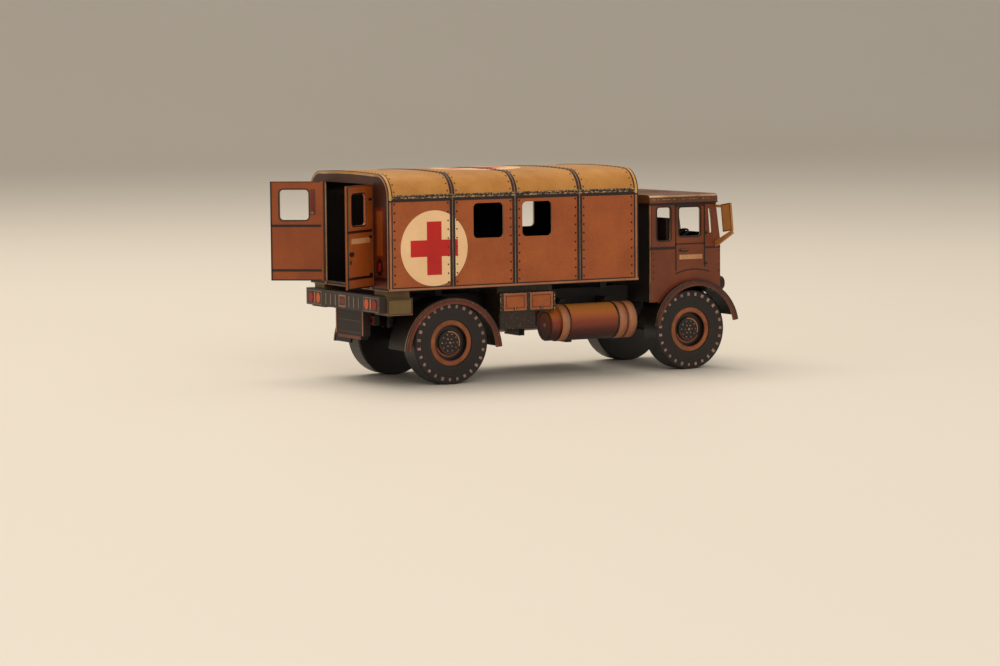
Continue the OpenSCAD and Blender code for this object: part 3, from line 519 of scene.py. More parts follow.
def bodySide(side, word):
    look = bodyPrint
    rear, front = bodyRearX - axleX, bodyFrontX - axleX
    low, top = floorLow[2], roofLow[2]
    marks = [mark("whiteInk", oval(look["discX"], look["discZ"], look["discR"], count=72)),
             mark("redCrossInk", crossShape(look["discX"], look["discZ"], look["crossSpan"], look["crossArm"]),
                  high=0.045),
             mark("foldInk", bar(rear, low, front, look["stripTop"] - 0.1)),
             mark("blackInk", bar(rear, look["stripTop"] - 0.1, front, look["stripTop"] + 0.12), high=0.05),
             mark("blackInk", bar(rear, low, front, low + 0.1), high=0.045),
             mark("blackInk", bar(rear, top - 0.3, front, top), high=0.06)]
    for start, end in ((rear, rear + 0.95), (front - 0.95, front)):
        marks += [mark("blackInk", bar(start, look["stripTop"], end, top), high=0.035),
                  mark("foldInk", bar(start + 0.28, low + 0.1, end - 0.27, top - 0.1), high=0.055)]
    for rib in look["ribs"]:
        half = look["ribWidth"] / 2
        marks += [mark("blackInk", bar(rib - half, look["stripTop"], rib + half, top), high=0.07),
                  mark("seamInk", bar(rib - look["seamWidth"] / 2, look["stripTop"], rib + look["seamWidth"] / 2, top),
                       high=0.085)]
    place = onSide(side, bodyHalf)
    pressMarks("body_print_" + word, marks, place, "truck")
    rows = []
    for u in look["endRivets"]:
        rows += column(u, look["stripTop"] + 0.8, top - 0.7, look["rivetPitch"])
    for rib in look["ribs"]:
        for out in (-1, 1):
            rows += column(rib + out * look["rivetOut"], look["stripTop"] + 0.8, top - 0.7, look["rivetPitch"])
    rivetRows("body_rivets_" + word, [(place(u, v, 0), Vector((0, side, 0))) for u, v in rows],
              "truck")


bodySide(-1, "right")
bodySide(1, "left")
print("body sides printed")


# ---- the roof, printed along its own curve

def roofCurve():
    # the section from the left eave over the top to the right one, as (distance, point, outward way)
    y0, z0, r = shell["flatHalf"], shell["shoulderZ"], shell["shoulderR"]
    points = [(Vector((0, bodyHalf, roofLow[2])), Vector((0, 1, 0)))]
    count = 24
    topAngle = math.pi / 2 - math.asin(y0 / shell["crownR"])
    for i in range(count + 1):
        a = topAngle * i / count
        way = Vector((0, math.cos(a), math.sin(a)))
        points.append((Vector((0, y0, z0)) + way * r, way))
    centre = roofHigh[2] - shell["crownR"]
    edge = math.asin(points[-1][0].y / shell["crownR"])
    for i in range(1, 25):
        a = edge * (1 - i / 24)
        way = Vector((0, math.sin(a), math.cos(a)))
        points.append((Vector((0, 0, centre)) + way * shell["crownR"], way))
    left = points
    right = [(Vector((0, -p.y, p.z)), Vector((0, -n.y, n.z))) for p, n in reversed(left[:-1])]
    run, path = 0.0, []
    for i, (p, n) in enumerate(left + right):
        if i:
            run += (p - (left + right)[i - 1][0]).length
        path.append((run, p, n))
    return path


roofPath = roofCurve()
roofRun = roofPath[-1][0]


def onRoof(u, v, h):
    # v runs from the left eave at 0 over the roof to the right one
    v = min(max(v, 0.0), roofRun)
    for (a, p, n), (b, q, m) in zip(roofPath, roofPath[1:]):
        if v <= b:
            t = (v - a) / (b - a)
            way = n.lerp(m, t).normalized()
            return p.lerp(q, t) + way * h + Vector((axleX + u, 0, 0))


def roofWay(v):
    return (onRoof(0, v, 1) - onRoof(0, v, 0)).normalized()


roofPrint = {"discX": 13.0, "discR": 9.0, "crossSpan": 12.4, "crossArm": 4.0, "eave": 0.85, "rivetPitch": 1.5}


def bodyRoof():
    look = roofPrint
    rear, front = bodyRearX - axleX, bodyFrontX - axleX
    middle = roofRun / 2
    marks = [mark("whiteInk", oval(look["discX"], middle, look["discR"], count=72), high=0.035),
             mark("redCrossInk", crossShape(look["discX"], middle, look["crossSpan"], look["crossArm"]), high=0.05)]
    for start, end in ((0, look["eave"]), (roofRun - look["eave"], roofRun)):
        inner = end if start == 0 else start
        marks += [mark("blackInk", bar(rear, start, front, end), high=0.06),
                  mark("rubbedEdgeInk", bar(rear, (start + end) / 2 - 0.14, front, (start + end) / 2 + 0.14),
                       high=0.08),
                  mark("rubbedEdgeInk", bar(rear, inner - 0.12, front, inner + 0.12), high=0.075)]
    for rib in bodyPrint["ribs"]:
        marks += [mark("brownLineInk", bar(rib - 0.5, 0, rib + 0.5, roofRun), high=0.07),
                  mark("seamInk", bar(rib - 0.09, 0, rib + 0.09, roofRun), high=0.085)]
    # the roof's end strips take the lighter copy of the fold ink: painted light on the roof
    for start, end in ((rear, rear + 0.95), (front - 0.95, front)):
        marks += [mark("brownLineInk", bar(start, 0, end, roofRun), high=0.065),
                  mark("goldFoldInk", bar(start + 0.24, 0, end - 0.24, roofRun), high=0.09)]
    cuts = [run for run, p, n in roofPath[1:-1]]
    pressMarks("roof_print", marks, onRoof, "truck", cuts)
    rows = []
    for u in [r + o * bodyPrint["rivetOut"] for r in bodyPrint["ribs"] for o in (-1, 1)] + bodyPrint["endRivets"]:
        rows += [(onRoof(u, v, 0), roofWay(v)) for u, v in column(u, 1.6, roofRun - 1.6, look["rivetPitch"])]
    rivetRows("roof_rivets", rows, "truck", radius=0.17)


bodyRoof()
print("roof printed")


# ---- the rear wall round the doorway

rearWall = {"panelIn": 11.0, "panelOut": 15.2, "panelLow": 20.9, "panelTop": 33.8, "lampY": 13.0, "lampZ": 22.7,
            "ruleZ": 20.45}


def rearWallPrint():
    look = rearWall
    marks = []
    for side in (-1, 1):
        def across(inner, outer):
            return sorted((side * inner, side * outer))
        a, b = across(look["panelIn"], look["panelOut"])
        marks += [mark("redBrownInk", bar(a, look["panelLow"], b, look["panelTop"])),
                  mark("doorPrint", bar(a + 0.9, look["panelLow"] + 3.9, b - 0.9, look["panelTop"] - 0.6),
                       high=0.035),
                  mark("blackInk", oval(side * look["lampY"], look["lampZ"], 1.25, 1.6), high=0.06),
                  mark("lampRedInk", oval(side * look["lampY"], look["lampZ"], 0.5, 0.85), high=0.14)]
        a, b = across(10.5, 16.0)
        marks += [mark("blackInk", bar(a, look["ruleZ"] - 0.2, b, look["ruleZ"] + 0.2), high=0.05),
                  mark("redBrownInk", bar(a + 0.6, 18.85, b - 0.3, look["ruleZ"] - 0.5), high=0.045)]
    marks.append(mark("brownLineInk", bar(-11.2, 38.2, 11.2, 38.5), high=0.05))
    pressMarks("rear_wall_print", marks, onRear(bodyRearX), "truck")
    sill = [mark("foldInk", bar(-16.3, floorLow[2] + 0.02, 16.3, floorLow[2] + 0.16), high=0.05)]
    for side in (-1, 1):
        sill.append(mark("studInk", oval(side * 9.6, floorLow[2] + 0.28, 0.3), high=0.25))
    pressMarks("rear_sill_print", sill, onRear(bodyRearX), "truck")
    front = [mark("brownLineInk", bar(-15.2, z, 15.2, z + 0.3), high=0.05) for z in (20.4, 33.6)]
    front += [mark("brownLineInk", bar(y - 0.15, 20.4, y + 0.15, 33.9), high=0.05) for y in (-15.2, -5.1, 5.1, 15.2)]
    pressMarks("front_wall_print", front, onFront(bodyFrontX), "truck")


rearWallPrint()
print("end walls printed")


# ---- rear doors, each drawn flat from its hinge and swung with it

doorPrintLook = {"thick": 0.45, "width": 10.225, "windowIn": 2.7, "windowWide": 5.7, "windowDrop": 1.6,
                 "windowHigh": 5.8, "windowR": 0.7}


def rearDoor(side, word):
    look = doorPrintLook
    joint = next(j for j in frame["joints"] if j["child"] == word + "_rear_door")
    hinge = Vector(joint["pos_m"]) * 1000
    low, high = spanOf("rear_door_" + word)
    height = high[2] - low[2]
    shut = math.radians(-joint["range_deg"][0])
    turn = Matrix.Rotation(-side * shut, 3, "Z")

    def onFace(face):           # face 1 looks back when the door is shut, -1 looks into the body
        def place(u, v, h):
            flat = Vector((-face * (look["thick"] / 2 + h), -side * u, 0))
            return turn @ flat + Vector((hinge.x, hinge.y, low[2] + v))
        return place

    wide, top = look["width"], height
    a, b = look["windowIn"], look["windowIn"] + look["windowWide"]
    d, c = top - look["windowDrop"], top - look["windowDrop"] - look["windowHigh"]

    def shared():
        return [mark("blackInk", bar(wide - 0.3, 0, wide, top), high=0.05),
                mark("blackInk", bar(0.3, 0, wide, 0.22), high=0.05),
                mark("brownLineInk", bar(0.3, top - 0.16, wide, top), high=0.045),
                mark("blackInk", bar(0.3, top - 8.75, wide, top - 8.3), high=0.05),
                mark("blackInk", bar(0.3, top - 17.35, wide, top - 16.9), high=0.05),
                border("brownLineInk", a, c, b, d, 0.26, look["windowR"])]
    inner = shared() + [mark("redBrownInk", bar(1.35, c + 1.0, 2.3, d + 0.1), high=0.035),
                        mark("studInk", oval(1.95, c + 1.4, 0.26), high=0.16)]
    outer = shared() + [mark("letterBarInk", bar(1.2, top - 10.75, 8.6, top - 9.75)),
                        mark("blackInk", roundBar(8.1, top - 13.0, 9.4, top - 12.2, 0.3), high=0.3),
                        mark("blackInk", oval(9.0, top - 14.1, 0.28, 0.42), high=0.08),
                        mark("tailLockerPrint", bar(wide - 0.75, 0.22, wide - 0.3, top - 0.16), high=0.03),
                        border("foldInk", a - 0.34, c - 0.34, b + 0.34, d + 0.34, 0.09, look["windowR"] + 0.34)]
    for y in (2.2, 9.2, 16.2):   # hinge straps
        outer.append(mark("blackInk", bar(0.3, y, 1.5, y + 0.4), high=0.09))
    body = word + "_rear_door"
    pressMarks("rear_door_inner_print_" + word, inner, onFace(-1), body)
    pressMarks("rear_door_outer_print_" + word, outer, onFace(1), body)


rearDoor(-1, "right")
rearDoor(1, "left")
print("rear doors printed")


# ---- lamp beam, step box and brackets across the tail

beamLook = {"lampHigh": 0.98, "redY": 13.45, "orangeY": 10.25, "barY": 11.85, "bars": [6.95, 4.9, 2.9],
            "frameIn": 8.95, "frameOut": 15.05}


def lampBeam():
    look = beamLook
    low, high = spanOf("lamp_beam")
    mid = (low[2] + high[2]) / 2 - 0.1
    marks = [border("foldInk", -1.15, mid - 0.85, 1.15, mid + 0.85, 0.3, high=0.05),
             mark("redBrownInk", bar(-0.85, mid - 0.55, 0.85, mid + 0.55), high=0.04)]
    for side in (-1, 1):
        a, b = sorted((side * look["frameIn"], side * look["frameOut"]))
        marks += [border("seamInk", a + 0.12, mid - 1.2, b - 0.12, mid + 1.2, 0.12, high=0.05),
                  mark("blackInk", bar(a + 0.12, mid - 1.2, b - 0.12, mid + 1.2), high=0.035),
                  mark("lampRedInk", oval(side * look["redY"], mid, 0.92, look["lampHigh"]), high=0.12),
                  mark("lampOrangeInk", oval(side * look["orangeY"], mid, 0.8, look["lampHigh"]), high=0.12),
                  mark("foldInk", bar(side * look["barY"] - 0.28, mid - 1.0, side * look["barY"] + 0.28, mid + 1.0),
                       high=0.09)]
        for y in look["bars"]:
            marks.append(mark("seamInk", bar(side * y - 0.16, mid - 1.05, side * y + 0.16, mid + 1.05), high=0.06))
    pressMarks("lamp_beam_print", marks, onRear(low[0]), "truck")
    ends = [border("brownLineInk", low[0] - axleX + 0.2, low[2] + 0.2, high[0] - axleX - 0.2, high[2] - 0.2, 0.1)]
    for side, word in ((-1, "right"), (1, "left")):
        pressMarks("lamp_beam_end_" + word, ends, onSide(side, high[1]), "truck")


def stepBox():
    low, high = spanOf("step_box")
    lip = low[2] + 0.7
    marks = [mark("redBrownInk", bar(low[1] + 1.05, low[2] + 0.05, high[1] - 1.05, lip - 0.05), high=0.05),
             mark("brownLineInk", bar(low[1] + 0.9, lip + 0.5, high[1] - 0.9, lip + 0.7)),
             mark("brownLineInk", bar(low[1] + 0.9, lip + 2.7, high[1] - 0.9, lip + 2.9))]
    for side in (-1, 1):
        edge = side * high[1]
        a, b = sorted((edge - side * 0.05, edge - side * 0.4))
        marks.append(mark("foldInk", bar(a, lip + 0.1, b, lip + 4.8), high=0.05))
    pressMarks("step_box_print", marks, onRear(low[0]), "truck")
    low, high = spanOf("tow_brackets")
    marks = []
    for side in (-1, 1):
        centre = side * (high[1] - 1.3)
        marks.append(mark("redBrownInk", bar(centre - 1.1, low[2] + 0.15, centre + 1.1, high[2] - 0.15),
                          [oval(centre, low[2] + 0.95, 0.46)], high=0.05))
    pressMarks("tow_bracket_print", marks, onRear(low[0]), "truck")


lampBeam()
stepBox()
print("tail printed")


# ---- lockers, tanks and mudguards

def lockers():
    for side, word in ((-1, "right"), (1, "left")):
        low, high = spanOf("corner_locker_" + word)
        out = max(abs(low[1]), abs(high[1]))
        u0, u1, z0, z1 = low[0] - axleX, high[0] - axleX, low[2], floorLow[2] - 1.4
        face = [border("brownLineInk", u0 + 0.25, z0 + 0.25, u1 - 0.25, z1 - 0.25, 0.16),
                mark("foldInk", bar(u0, z0, u1, z0 + 0.09), high=0.05)]
        pressMarks("corner_locker_print_" + word, face, onSide(side, out), "truck")
        low, high = spanOf("side_locker_" + word)
        out = max(abs(low[1]), abs(high[1]))
        u0, z1 = low[0] - axleX, floorLow[2] - 1.4
        z0 = z1 - 3.6
        face = []
        for start, end in ((0.75, 5.75), (6.5, 11.5)):
            a, b = u0 + start, u0 + end
            face += [border("foldInk", a + 0.2, z0 + 0.45, b - 0.2, z1 - 0.25, 0.17, high=0.06),
                     mark("orangeInk", bar(a + 0.2, z0 + 0.45, b - 0.2, z1 - 0.25), high=0.03),
                     border("redBrownInk", a + 0.62, z0 + 0.85, b - 0.62, z1 - 0.65, 0.16, high=0.045),
                     mark("blackInk", bar((a + b) / 2 - 0.35, z0 + 0.4, (a + b) / 2 + 0.35, z0 + 0.72), high=0.1),
                     mark("seamInk", bar((a + b) / 2 - 0.14, z0 + 0.34, (a + b) / 2 + 0.14, z0 + 0.85), high=0.16)]
        face += [mark("rubbedEdgeInk", bar(u0, z1 - 0.14, u0 + 12, z1), high=0.05),
                 mark("rubbedEdgeInk", bar(u0, z0, u0 + 0.16, z1), high=0.05),
                 mark("rubbedEdgeInk", bar(u0 + 11.84, z0, u0 + 12, z1), high=0.05)]
        pressMarks("side_locker_print_" + word, face, onSide(side, out), "truck")
        deep = [border("brownLineInk", u0 + 0.5, low[2] + 0.4, u0 + 7.3, z0 - 0.4, 0.16)]
        deep += [mark("brownLineInk", bar(u0 + x - 0.1, low[2] + 0.4, u0 + x + 0.1, z0 - 0.4)) for x in (2.2, 3.9, 5.6)]
        pressMarks("deep_box_print_" + word, deep, onSide(side, out - 0.3), "truck")


tankBands = {"r": 3.5,
             "hoops": [(0.0, 1.6, 0.07, "foldInk"), (1.6, 2.0, 0.05, "blackInk"), (12.4, 12.8, 0.05, "blackInk"),
                       (12.8, 14.4, 0.07, "foldInk"), (14.4, 14.9, 0.05, "redBrownInk"),
                       (14.9, 16.6, 0.07, "foldInk"), (16.6, 16.8, 0.05, "blackInk")]}


def tankHoops():
    for side, word in ((-1, "right"), (1, "left")):
        low, high = spanOf("fuel_tank_" + word)
        start = high[0] - 16.8
        out = max(abs(low[1]), abs(high[1]))
        axisY, axisZ, r = side * (out - tankBands["r"]), high[2] - tankBands["r"], tankBands["r"]
        hoops = bmesh.new()
        inks = []
        for a, b, proud, ink in tankBands["hoops"]:
            if ink not in inks:
                inks.append(ink)
            loops = []
            for x, radius in ((a, r - 0.05), (a, r + proud), (b, r + proud), (b, r - 0.05)):
                loops.append([hoops.verts.new(Vector((start + x, axisY + radius * math.cos(t), axisZ + radius * math.sin(t)))
                                              * 0.001) for t in (2 * math.pi * i / 72 for i in range(72))])
            for p, q in zip(loops, loops[1:] + loops[:1]):
                for i in range(72):
                    face = hoops.faces.new((p[i], p[(i + 1) % 72], q[(i + 1) % 72], q[i]))
                    face.material_index = inks.index(ink)
                    face.smooth = True
        bmesh.ops.recalc_face_normals(hoops, faces=hoops.faces[:])
        mesh = bpy.data.meshes.new("tank_hoops_" + word)
        hoops.to_mesh(mesh)
        hoops.free()
        addPiece("tank_hoops_" + word, mesh, inks, "truck")
        cap = [mark("brownLineInk", oval(axisY, axisZ - 0.35, 2.6), [oval(axisY, axisZ - 0.35, 2.35)], high=0.04),
               mark("seamInk", oval(axisY, axisZ - 0.35, 0.4), high=0.12)]
        pressMarks("tank_cap_print_" + word, cap, onRear(low[0]), "truck")


def mudguardPrint():
    for side, word in ((-1, "right"), (1, "left")):
        low, high = spanOf("rear_mudguard_" + word)
        out, r = max(abs(low[1]), abs(high[1])), 10.3
        z = high[2] - r - 0.08
        end = math.degrees(math.asin((wheelZ - 1 - z) / r)) - 0.3
        face = [mark("blackInk", arcBand(0, z, r - 0.1, r + 0.09, end, 180 - end), high=0.04),
                mark("redBrownInk", arcBand(0, z, r - 0.86, r - 0.5, end, 180 - end)),
                mark("blackInk", arcBand(0, z, r - 0.5, r - 0.38, end, 180 - end), high=0.04)]
        pressMarks("rear_mudguard_print_" + word, face, onSide(side, out), "truck")
        low, high = spanOf("front_mudguard_" + word)
        out, r = max(abs(low[1]), abs(high[1])), 9.6
        u, z = high[0] - axleX - (r + 0.08) * math.cos(math.radians(10)), wheelZ
        face = [mark("blackInk", arcBand(u, z, r - 0.1, r + 0.09, 10.3, 172.7), high=0.04),
                mark("redBrownInk", arcBand(u, z, r - 0.8, r - 0.45, 10.3, 172.7)),
                mark("blackInk", arcBand(u, z, r - 0.45, r - 0.33, 10.3, 172.7), high=0.04)]
        pressMarks("front_mudguard_print_" + word, face, onSide(side, out), "truck")


lockers()
tankHoops()
mudguardPrint()
print("lockers, tanks and mudguards printed")


# ---- cab

cabLook = {"doorRear": 49.55, "doorFront": 56.45, "doorTop": 32.35, "doorLow": 19.5, "line": 0.26,
           "window": (6.65, 26.3, 4.9, 5.6), "quarter": (1.6, 25.6, 3.1, 6.4)}


def cabSide(side, word):
    look = cabLook
    rear, front = cabRearX - axleX, cabFrontX - axleX
    guardX = frontAxleX - axleX + 0.4
    w = look["line"]
    a, b, c, d = look["doorRear"], look["doorFront"], look["doorLow"], look["doorTop"]
    marks = [mark("blackInk", bar(a, c, a + w, d), high=0.05), mark("blackInk", bar(b - w, c + 0.6, b, d), high=0.05),
             mark("blackInk", bar(a, d - w, b, d), high=0.05),
             mark("blackInk", bar(rear, 23.8, a, 24.35), high=0.06),
             mark("blackInk", bar(b, 23.75, front, 24.1), high=0.06),
             mark("blackInk", bar(a, 24.65, b, 24.9), high=0.05),
             mark("blackInk", arcBand(guardX, wheelZ, 11.75, 12.0, 72, 111), high=0.05),
             mark("redBrownInk", arcBand(guardX, wheelZ, 9.75, 10.15, 36, 146), high=0.035),
             mark("letterBarInk", bar(50.5, 21.75, 55.8, 22.65)),
             mark("blackInk", roundBar(50.5, 23.3, 52.4, 23.75, 0.2), high=0.3),
             mark("seamInk", bar(50.65, 23.6, 52.2, 23.68), high=0.33),
             mark("foldInk", bar(rear, 17.4, rear + 0.16, 32.5), high=0.035),
             mark("blackInk", bar(rear + 0.16, 17.4, rear + 0.34, 32.5), high=0.04),
             mark("blackInk", bar(rear, cabShape["eaveZ"] - 0.3, front - 1.0, cabShape["eaveZ"]), high=0.05)]
    for x, z, wide, tall in (look["window"], look["quarter"]):
        marks.append(border("blackInk", rear + x, z, rear + x + wide, z + tall, 0.24, 0.5, high=0.07))
    for z in (26.6, 20.6):       # door hinges on the front edge
        marks.append(mark("blackInk", bar(b - 0.15, z, b + 0.5, z + 0.45), high=0.1))
    pressMarks("cab_print_" + word, marks, onSide(side, cabHalf), "truck")
    rows = [(onSide(side, cabHalf)(u, v, 0), Vector((0, side, 0)))
            for u, v in column(rear + 0.75, 18.2, 23.2, 1.3) + column(front - 0.4, 19.2, 23.2, 1.3)]
    rivetRows("cab_rivets_" + word, rows, "truck", radius=0.14)


def cabCap():
    rear, front = capLow[0] - axleX, capHigh[0] - axleX
    for side, word in ((-1, "right"), (1, "left")):
        edge = [mark("blackInk", bar(rear, capLow[2], front, capLow[2] + 0.22), high=0.04),
                mark("rubbedEdgeInk", bar(rear + 0.2, capHigh[2] - 0.98, front - 0.2, capHigh[2] - 0.86), high=0.03)]
        pressMarks("cab_cap_edge_" + word, edge, onSide(side, capHalf), "truck")
    across = [mark("blackInk", bar(-capHalf, capLow[2], capHalf, capLow[2] + 0.22), high=0.04)]
    pressMarks("cab_cap_edge_rear", across, onRear(capLow[0]), "truck")
    pressMarks("cab_cap_edge_front", across, onFront(capHigh[0]), "truck")
    hatch = [border("brownLineInk", -4.2, -3.6, 4.2, 3.6, 0.22),
             mark("brownLineInk", bar(-0.12, -3.6, 0.12, 3.6), high=0.04)]
    centre = (capLow[0] + capHigh[0]) / 2
    pressMarks("cab_cap_hatch", hatch, lambda u, v, h: Vector((centre + v, u, capHigh[2] + h)), "truck")


def cabFront():
    def onScreen(u, v, h):       # upright below the waist, leaning back above it
        back = max(0.0, v - cabShape["waistZ"]) * leanSlope
        return Vector((cabFrontX - back + h, u, v))
    marks = [mark("blackInk", bar(-14.2, 25.25, 14.2, 25.5), high=0.05),
             mark("blackInk", bar(-14.2, 23.9, 14.2, 24.1), high=0.045),
             mark("brownLineInk", bar(-0.3, 26.6, 0.3, 32.2), high=0.05)]
    for side in (-1, 1):
        a, b = sorted((side * 0.5, side * 12.7))
        marks.append(border("blackInk", a, 26.6, b, 32.2, 0.26, high=0.06))
        a, b = sorted((side * 5.6, side * 9.4))
        marks += [border("brownLineInk", a, 18.8, b, 23.2, 0.16, high=0.04)]
        marks += [mark("blackInk", bar(side * 6.4 - 0.9, z, side * 6.4 + 0.9, z + 0.22), high=0.06)
                  for z in (19.6, 20.6, 21.6)]
    pressMarks("cab_front_print", marks, onScreen, "truck", [cabShape["waistZ"]])
    low, high = spanOf("radiator_grille")
    frameMarks = [border("blackInk", low[1] + 0.3, low[2] + 0.3, high[1] - 0.3, high[2] - 0.3, 0.14, high=0.05),
                  mark("seamInk", oval(0, high[2] - 0.42, 0.24), high=0.12)]
    pressMarks("grille_print", frameMarks, onFront(high[0]), "truck")
    low, high = spanOf("front_bumper")
    bumper = [mark("brownLineInk", bar(low[1], low[2] + 0.15, high[1], low[2] + 0.3), high=0.04),
              mark("foldInk", bar(low[1] + 0.05, low[2] + 2.1, high[1] - 0.05, low[2] + 2.3), high=0.04)]
    bumper += [mark("seamInk", oval(side * 6.0, low[2] + 1.2, 0.4), high=0.12) for side in (-1, 1)]
    pressMarks("bumper_print", bumper, onFront(high[0]), "truck")
    low, high = spanOf("headlamps")
    lamps = []
    for side in (-1, 1):
        y, z, r = side * (high[1] - 1.35), (low[2] + high[2]) / 2, 1.35
        lamps += [mark("foldInk", oval(y, z, r - 0.05), [oval(y, z, r - 0.22)], high=0.12),
                  mark("studInk", oval(y, z, r - 0.22), high=0.04),
                  mark("whiteInk", oval(y, z, r - 0.75), high=0.07)]
    pressMarks("headlamp_print", lamps, onFront(high[0]), "truck")


def mirrors():
    tilt = math.radians(8)
    for side, word in ((-1, "right"), (1, "left")):
        low, high = spanOf("mirror_" + word)
        top, y0 = cabShape["eaveZ"] - 0.35, 16.8

        def onPlate(face):
            def place(u, v, h):
                flat = Vector((0, u * math.cos(tilt) - v * math.sin(tilt), u * math.sin(tilt) + v * math.cos(tilt)))
                px = (low[0] - h) if face < 0 else (high[0] + h)
                return Vector((px, side * (y0 + flat.y), top + flat.z))
            return place
        back = [border("brownLineInk", 0.18, -5.22, 3.02, -0.18, 0.16),
                mark("foldInk", bar(0.5, -4.9, 0.8, -0.5), high=0.035)]
        front = [border("brownLineInk", 0.18, -5.22, 3.02, -0.18, 0.16), mark("blackInk", oval(1.6, -2.7, 0.3), high=0.1)]
        pressMarks("mirror_back_" + word, back, onPlate(-1), "truck")
        pressMarks("mirror_front_" + word, front, onPlate(1), "truck")


cabSide(-1, "right")
cabSide(1, "left")
cabCap()
cabFront()
mirrors()
print("cab printed")


# ---- wheels

wheelLook = {"rimR": 4.42, "ringIn": 3.33, "rimBack": 0.2, "dishBack": 1.1, "hubBack": 0.7,
             "dashes": 27, "dashR": 6.95, "dashSize": 0.62}


def wheelPrint(end, word, x):
    look = wheelLook
    side = -1 if word == "right" else 1
    out = max(abs(v) for v in (spanOf("tyre_" + end + "_" + word)[0][1], spanOf("tyre_" + end + "_" + word)[1][1]))
    body = end + "_" + word + "_wheel"
    tag = end + "_" + word
    face = lambda u, v, h: Vector((x + u, side * (out + h), wheelZ + v))
    rim, dish, hub = -look["rimBack"], -look["dishBack"], -look["hubBack"]

    def ringMark(ink, r0, r1, base, proud):
        return mark(ink, oval(0, 0, r1, count=72), [oval(0, 0, r0, count=72)], low=base - 0.03, high=base + proud)
    marks = [ringMark("rimPrint", look["ringIn"] + 0.02, look["rimR"] - 0.02, rim, 0.04),
             ringMark("redBrownInk", look["ringIn"] + 0.02, look["ringIn"] + 0.16, rim, 0.06),
             ringMark("brownLineInk", look["rimR"] - 0.14, look["rimR"] - 0.02, rim, 0.06),
             ringMark("brownLineInk", 2.75, 2.9, dish, 0.05),
             mark("foldInk", arcBand(0, 0, 2.0, 2.2, -20, 100), low=hub - 0.03, high=hub + 0.05),
             mark("redBrownInk", arcBand(0, 0, 2.0, 2.16, 190, 300), low=hub - 0.03, high=hub + 0.04),
             mark("rimPrint", arcBand(0, 0, 2.45, 2.7, 200, 330), low=dish - 0.03, high=dish + 0.06),
             ringMark("brownLineInk", 1.15, 1.25, hub, 0.05),
             ringMark("brownLineInk", 6.1, 6.18, 0, 0.03), ringMark("brownLineInk", 4.75, 4.85, 0, 0.03),
             mark("studInk", oval(0, 0, 0.24, count=20), low=hub, high=hub + 0.28)]
    pressMarks("wheel_print_" + tag, marks, face, body)
    growPiece("sidewall_dashes_" + tag, dashTree,
              {"Dash count": look["dashes"], "Ring radius": look["dashR"] * 0.001,
               "Dash size": (look["dashSize"] * 0.001, look["dashSize"] * 0.00095, 0.0001),
               "Centre": (x * 0.001, side * out * 0.001, wheelZ * 0.001), "Seed": 7, "Ink": cards["dashInk"]},
              body)
    growPiece("hub_studs_" + tag, studTree,
              {"Inner count": 6, "Outer count": 10, "Inner radius": 0.00078, "Outer radius": 0.00162,
               "Stud radius": 0.00017, "Stud height": 0.0002,
               "Centre": (x * 0.001, side * (out + hub) * 0.001, wheelZ * 0.001),
               "Tilt": (-side * math.pi / 2, 0, 0), "Ink": cards["studInk"]}, body)


for end, x in (("rear", axleX), ("front", frontAxleX)):
    for word in ("right", "left"):
        wheelPrint(end, word, x)
print("wheels printed")


# ---- studio

camera = {"azimuth": -0.5096361, "rise": 0.0843521, "roll": -0.00927799, "lens": 115.2, "distance": 624.393,
          "target": (-1.763, 0.0, 7.885)}
studio = {"floorInk": "#e4ded4", "world": 0.55, "worldInk": "#efe8de"}


def placeCamera():
    az, el, roll = camera["azimuth"], camera["rise"], camera["roll"]
    back = Vector((math.sin(az) * math.cos(el), -math.cos(az) * math.cos(el), math.sin(el)))
    right = Vector((math.cos(az), math.sin(az), 0))
    up = back.cross(right)
    turnedRight = math.cos(roll) * right + math.sin(roll) * up
    turnedUp = -math.sin(roll) * right + math.cos(roll) * up
    lens = bpy.data.cameras.new("studioCamera")
    lens.lens, lens.sensor_width, lens.clip_start = camera["lens"], 36.0, 0.01
    eye = bpy.data.objects.new("studioCamera", lens)
    scene.collection.objects.link(eye)
    turn = Matrix((turnedRight, turnedUp, back)).transposed().to_4x4()
    eye.matrix_world = Matrix.Translation((Vector(camera["target"]) + back * camera["distance"]) * 0.001) @ turn
    scene.camera = eye


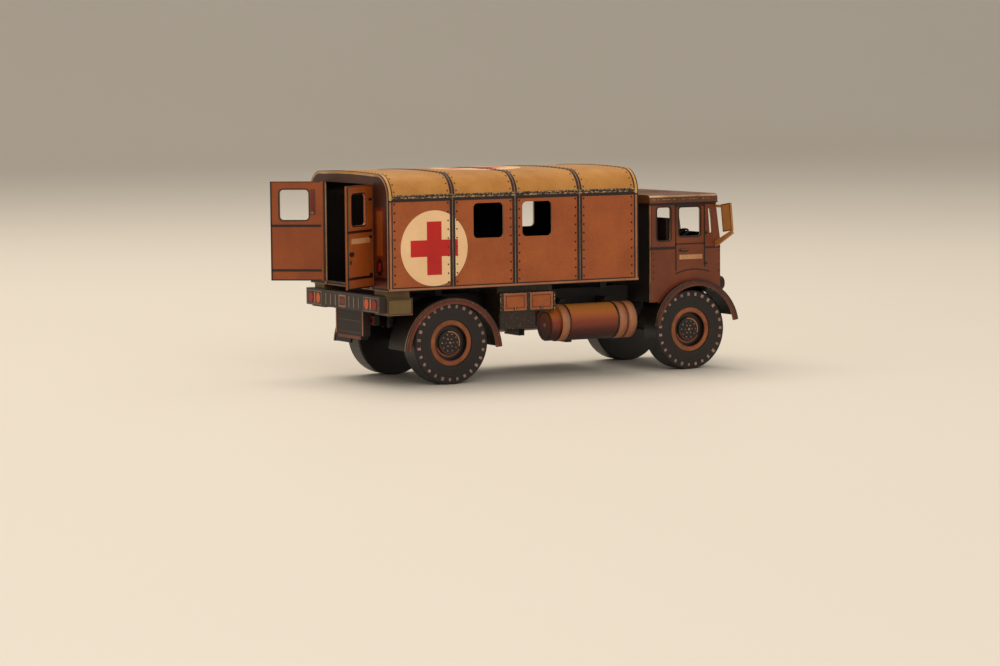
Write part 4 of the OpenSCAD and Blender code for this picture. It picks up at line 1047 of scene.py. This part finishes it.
def softLight(name, spot, aim, size, power, colour):
    lamp = bpy.data.lights.new(name, "AREA")
    lamp.shape, lamp.size, lamp.energy = "SQUARE", size, power
    lamp.color = linear(colour)[:3]
    holder = bpy.data.objects.new(name, lamp)
    scene.collection.objects.link(holder)
    holder.location = spot
    holder.rotation_euler = (Vector(aim) - Vector(spot)).to_track_quat("-Z", "Y").to_euler()


def studioSet():
    profile = [(-2.5, 0.0), (1.2, 0.0)]
    profile += [(1.2 + 0.8 * math.sin(a), 0.8 - 0.8 * math.cos(a)) for a in (math.pi / 2 * i / 16 for i in range(1, 17))]
    profile.append((2.0, 2.4))
    sweep = bmesh.new()
    rows = [[sweep.verts.new((x, y, z)) for y, z in profile] for x in (-3.0, 3.0)]
    for i in range(len(profile) - 1):
        face = sweep.faces.new((rows[0][i], rows[1][i], rows[1][i + 1], rows[0][i + 1]))
        face.smooth = True
    mesh = bpy.data.meshes.new("studioFloor")
    sweep.to_mesh(mesh)
    sweep.free()
    floor = bpy.data.objects.new("studioFloor", mesh)
    scene.collection.objects.link(floor)
    paint = bpy.data.materials.new("paleStudioPaint")       # matt sprayed board, faintly clouded
    paint.use_nodes = True
    tree = paint.node_tree
    place = addNode(tree, "ShaderNodeTexCoord").outputs["Object"]
    cloud = addNode(tree, "ShaderNodeTexNoise", {"Vector": place, "Scale": 3.0, "Detail": 3}).outputs[0]
    tone = addNode(tree, "ShaderNodeMix", {0: cloud, 6: linear("#ddd6cb"), 7: linear(studio["floorInk"])},
                   data_type="RGBA").outputs[2]
    tree.links.new(tone, tree.nodes["Principled BSDF"].inputs["Base Color"])
    tree.nodes["Principled BSDF"].inputs["Roughness"].default_value = 0.55
    mesh.materials.append(paint)
    world = bpy.data.worlds.new("studioWorld")
    world.use_nodes = True
    world.node_tree.nodes["Background"].inputs["Color"].default_value = linear(studio["worldInk"])
    world.node_tree.nodes["Background"].inputs["Strength"].default_value = studio["world"]
    scene.world = world
    softLight("overhead", (-0.1, 0.25, 0.75), (0, 0, 0.02), 0.7, 5.0, "#fff4e4")
    softLight("nearFill", (-0.25, -0.8, 0.45), (0, 0, 0.02), 0.6, 3.0, "#fff6ea")


placeCamera()
studioSet()
print("studio set")
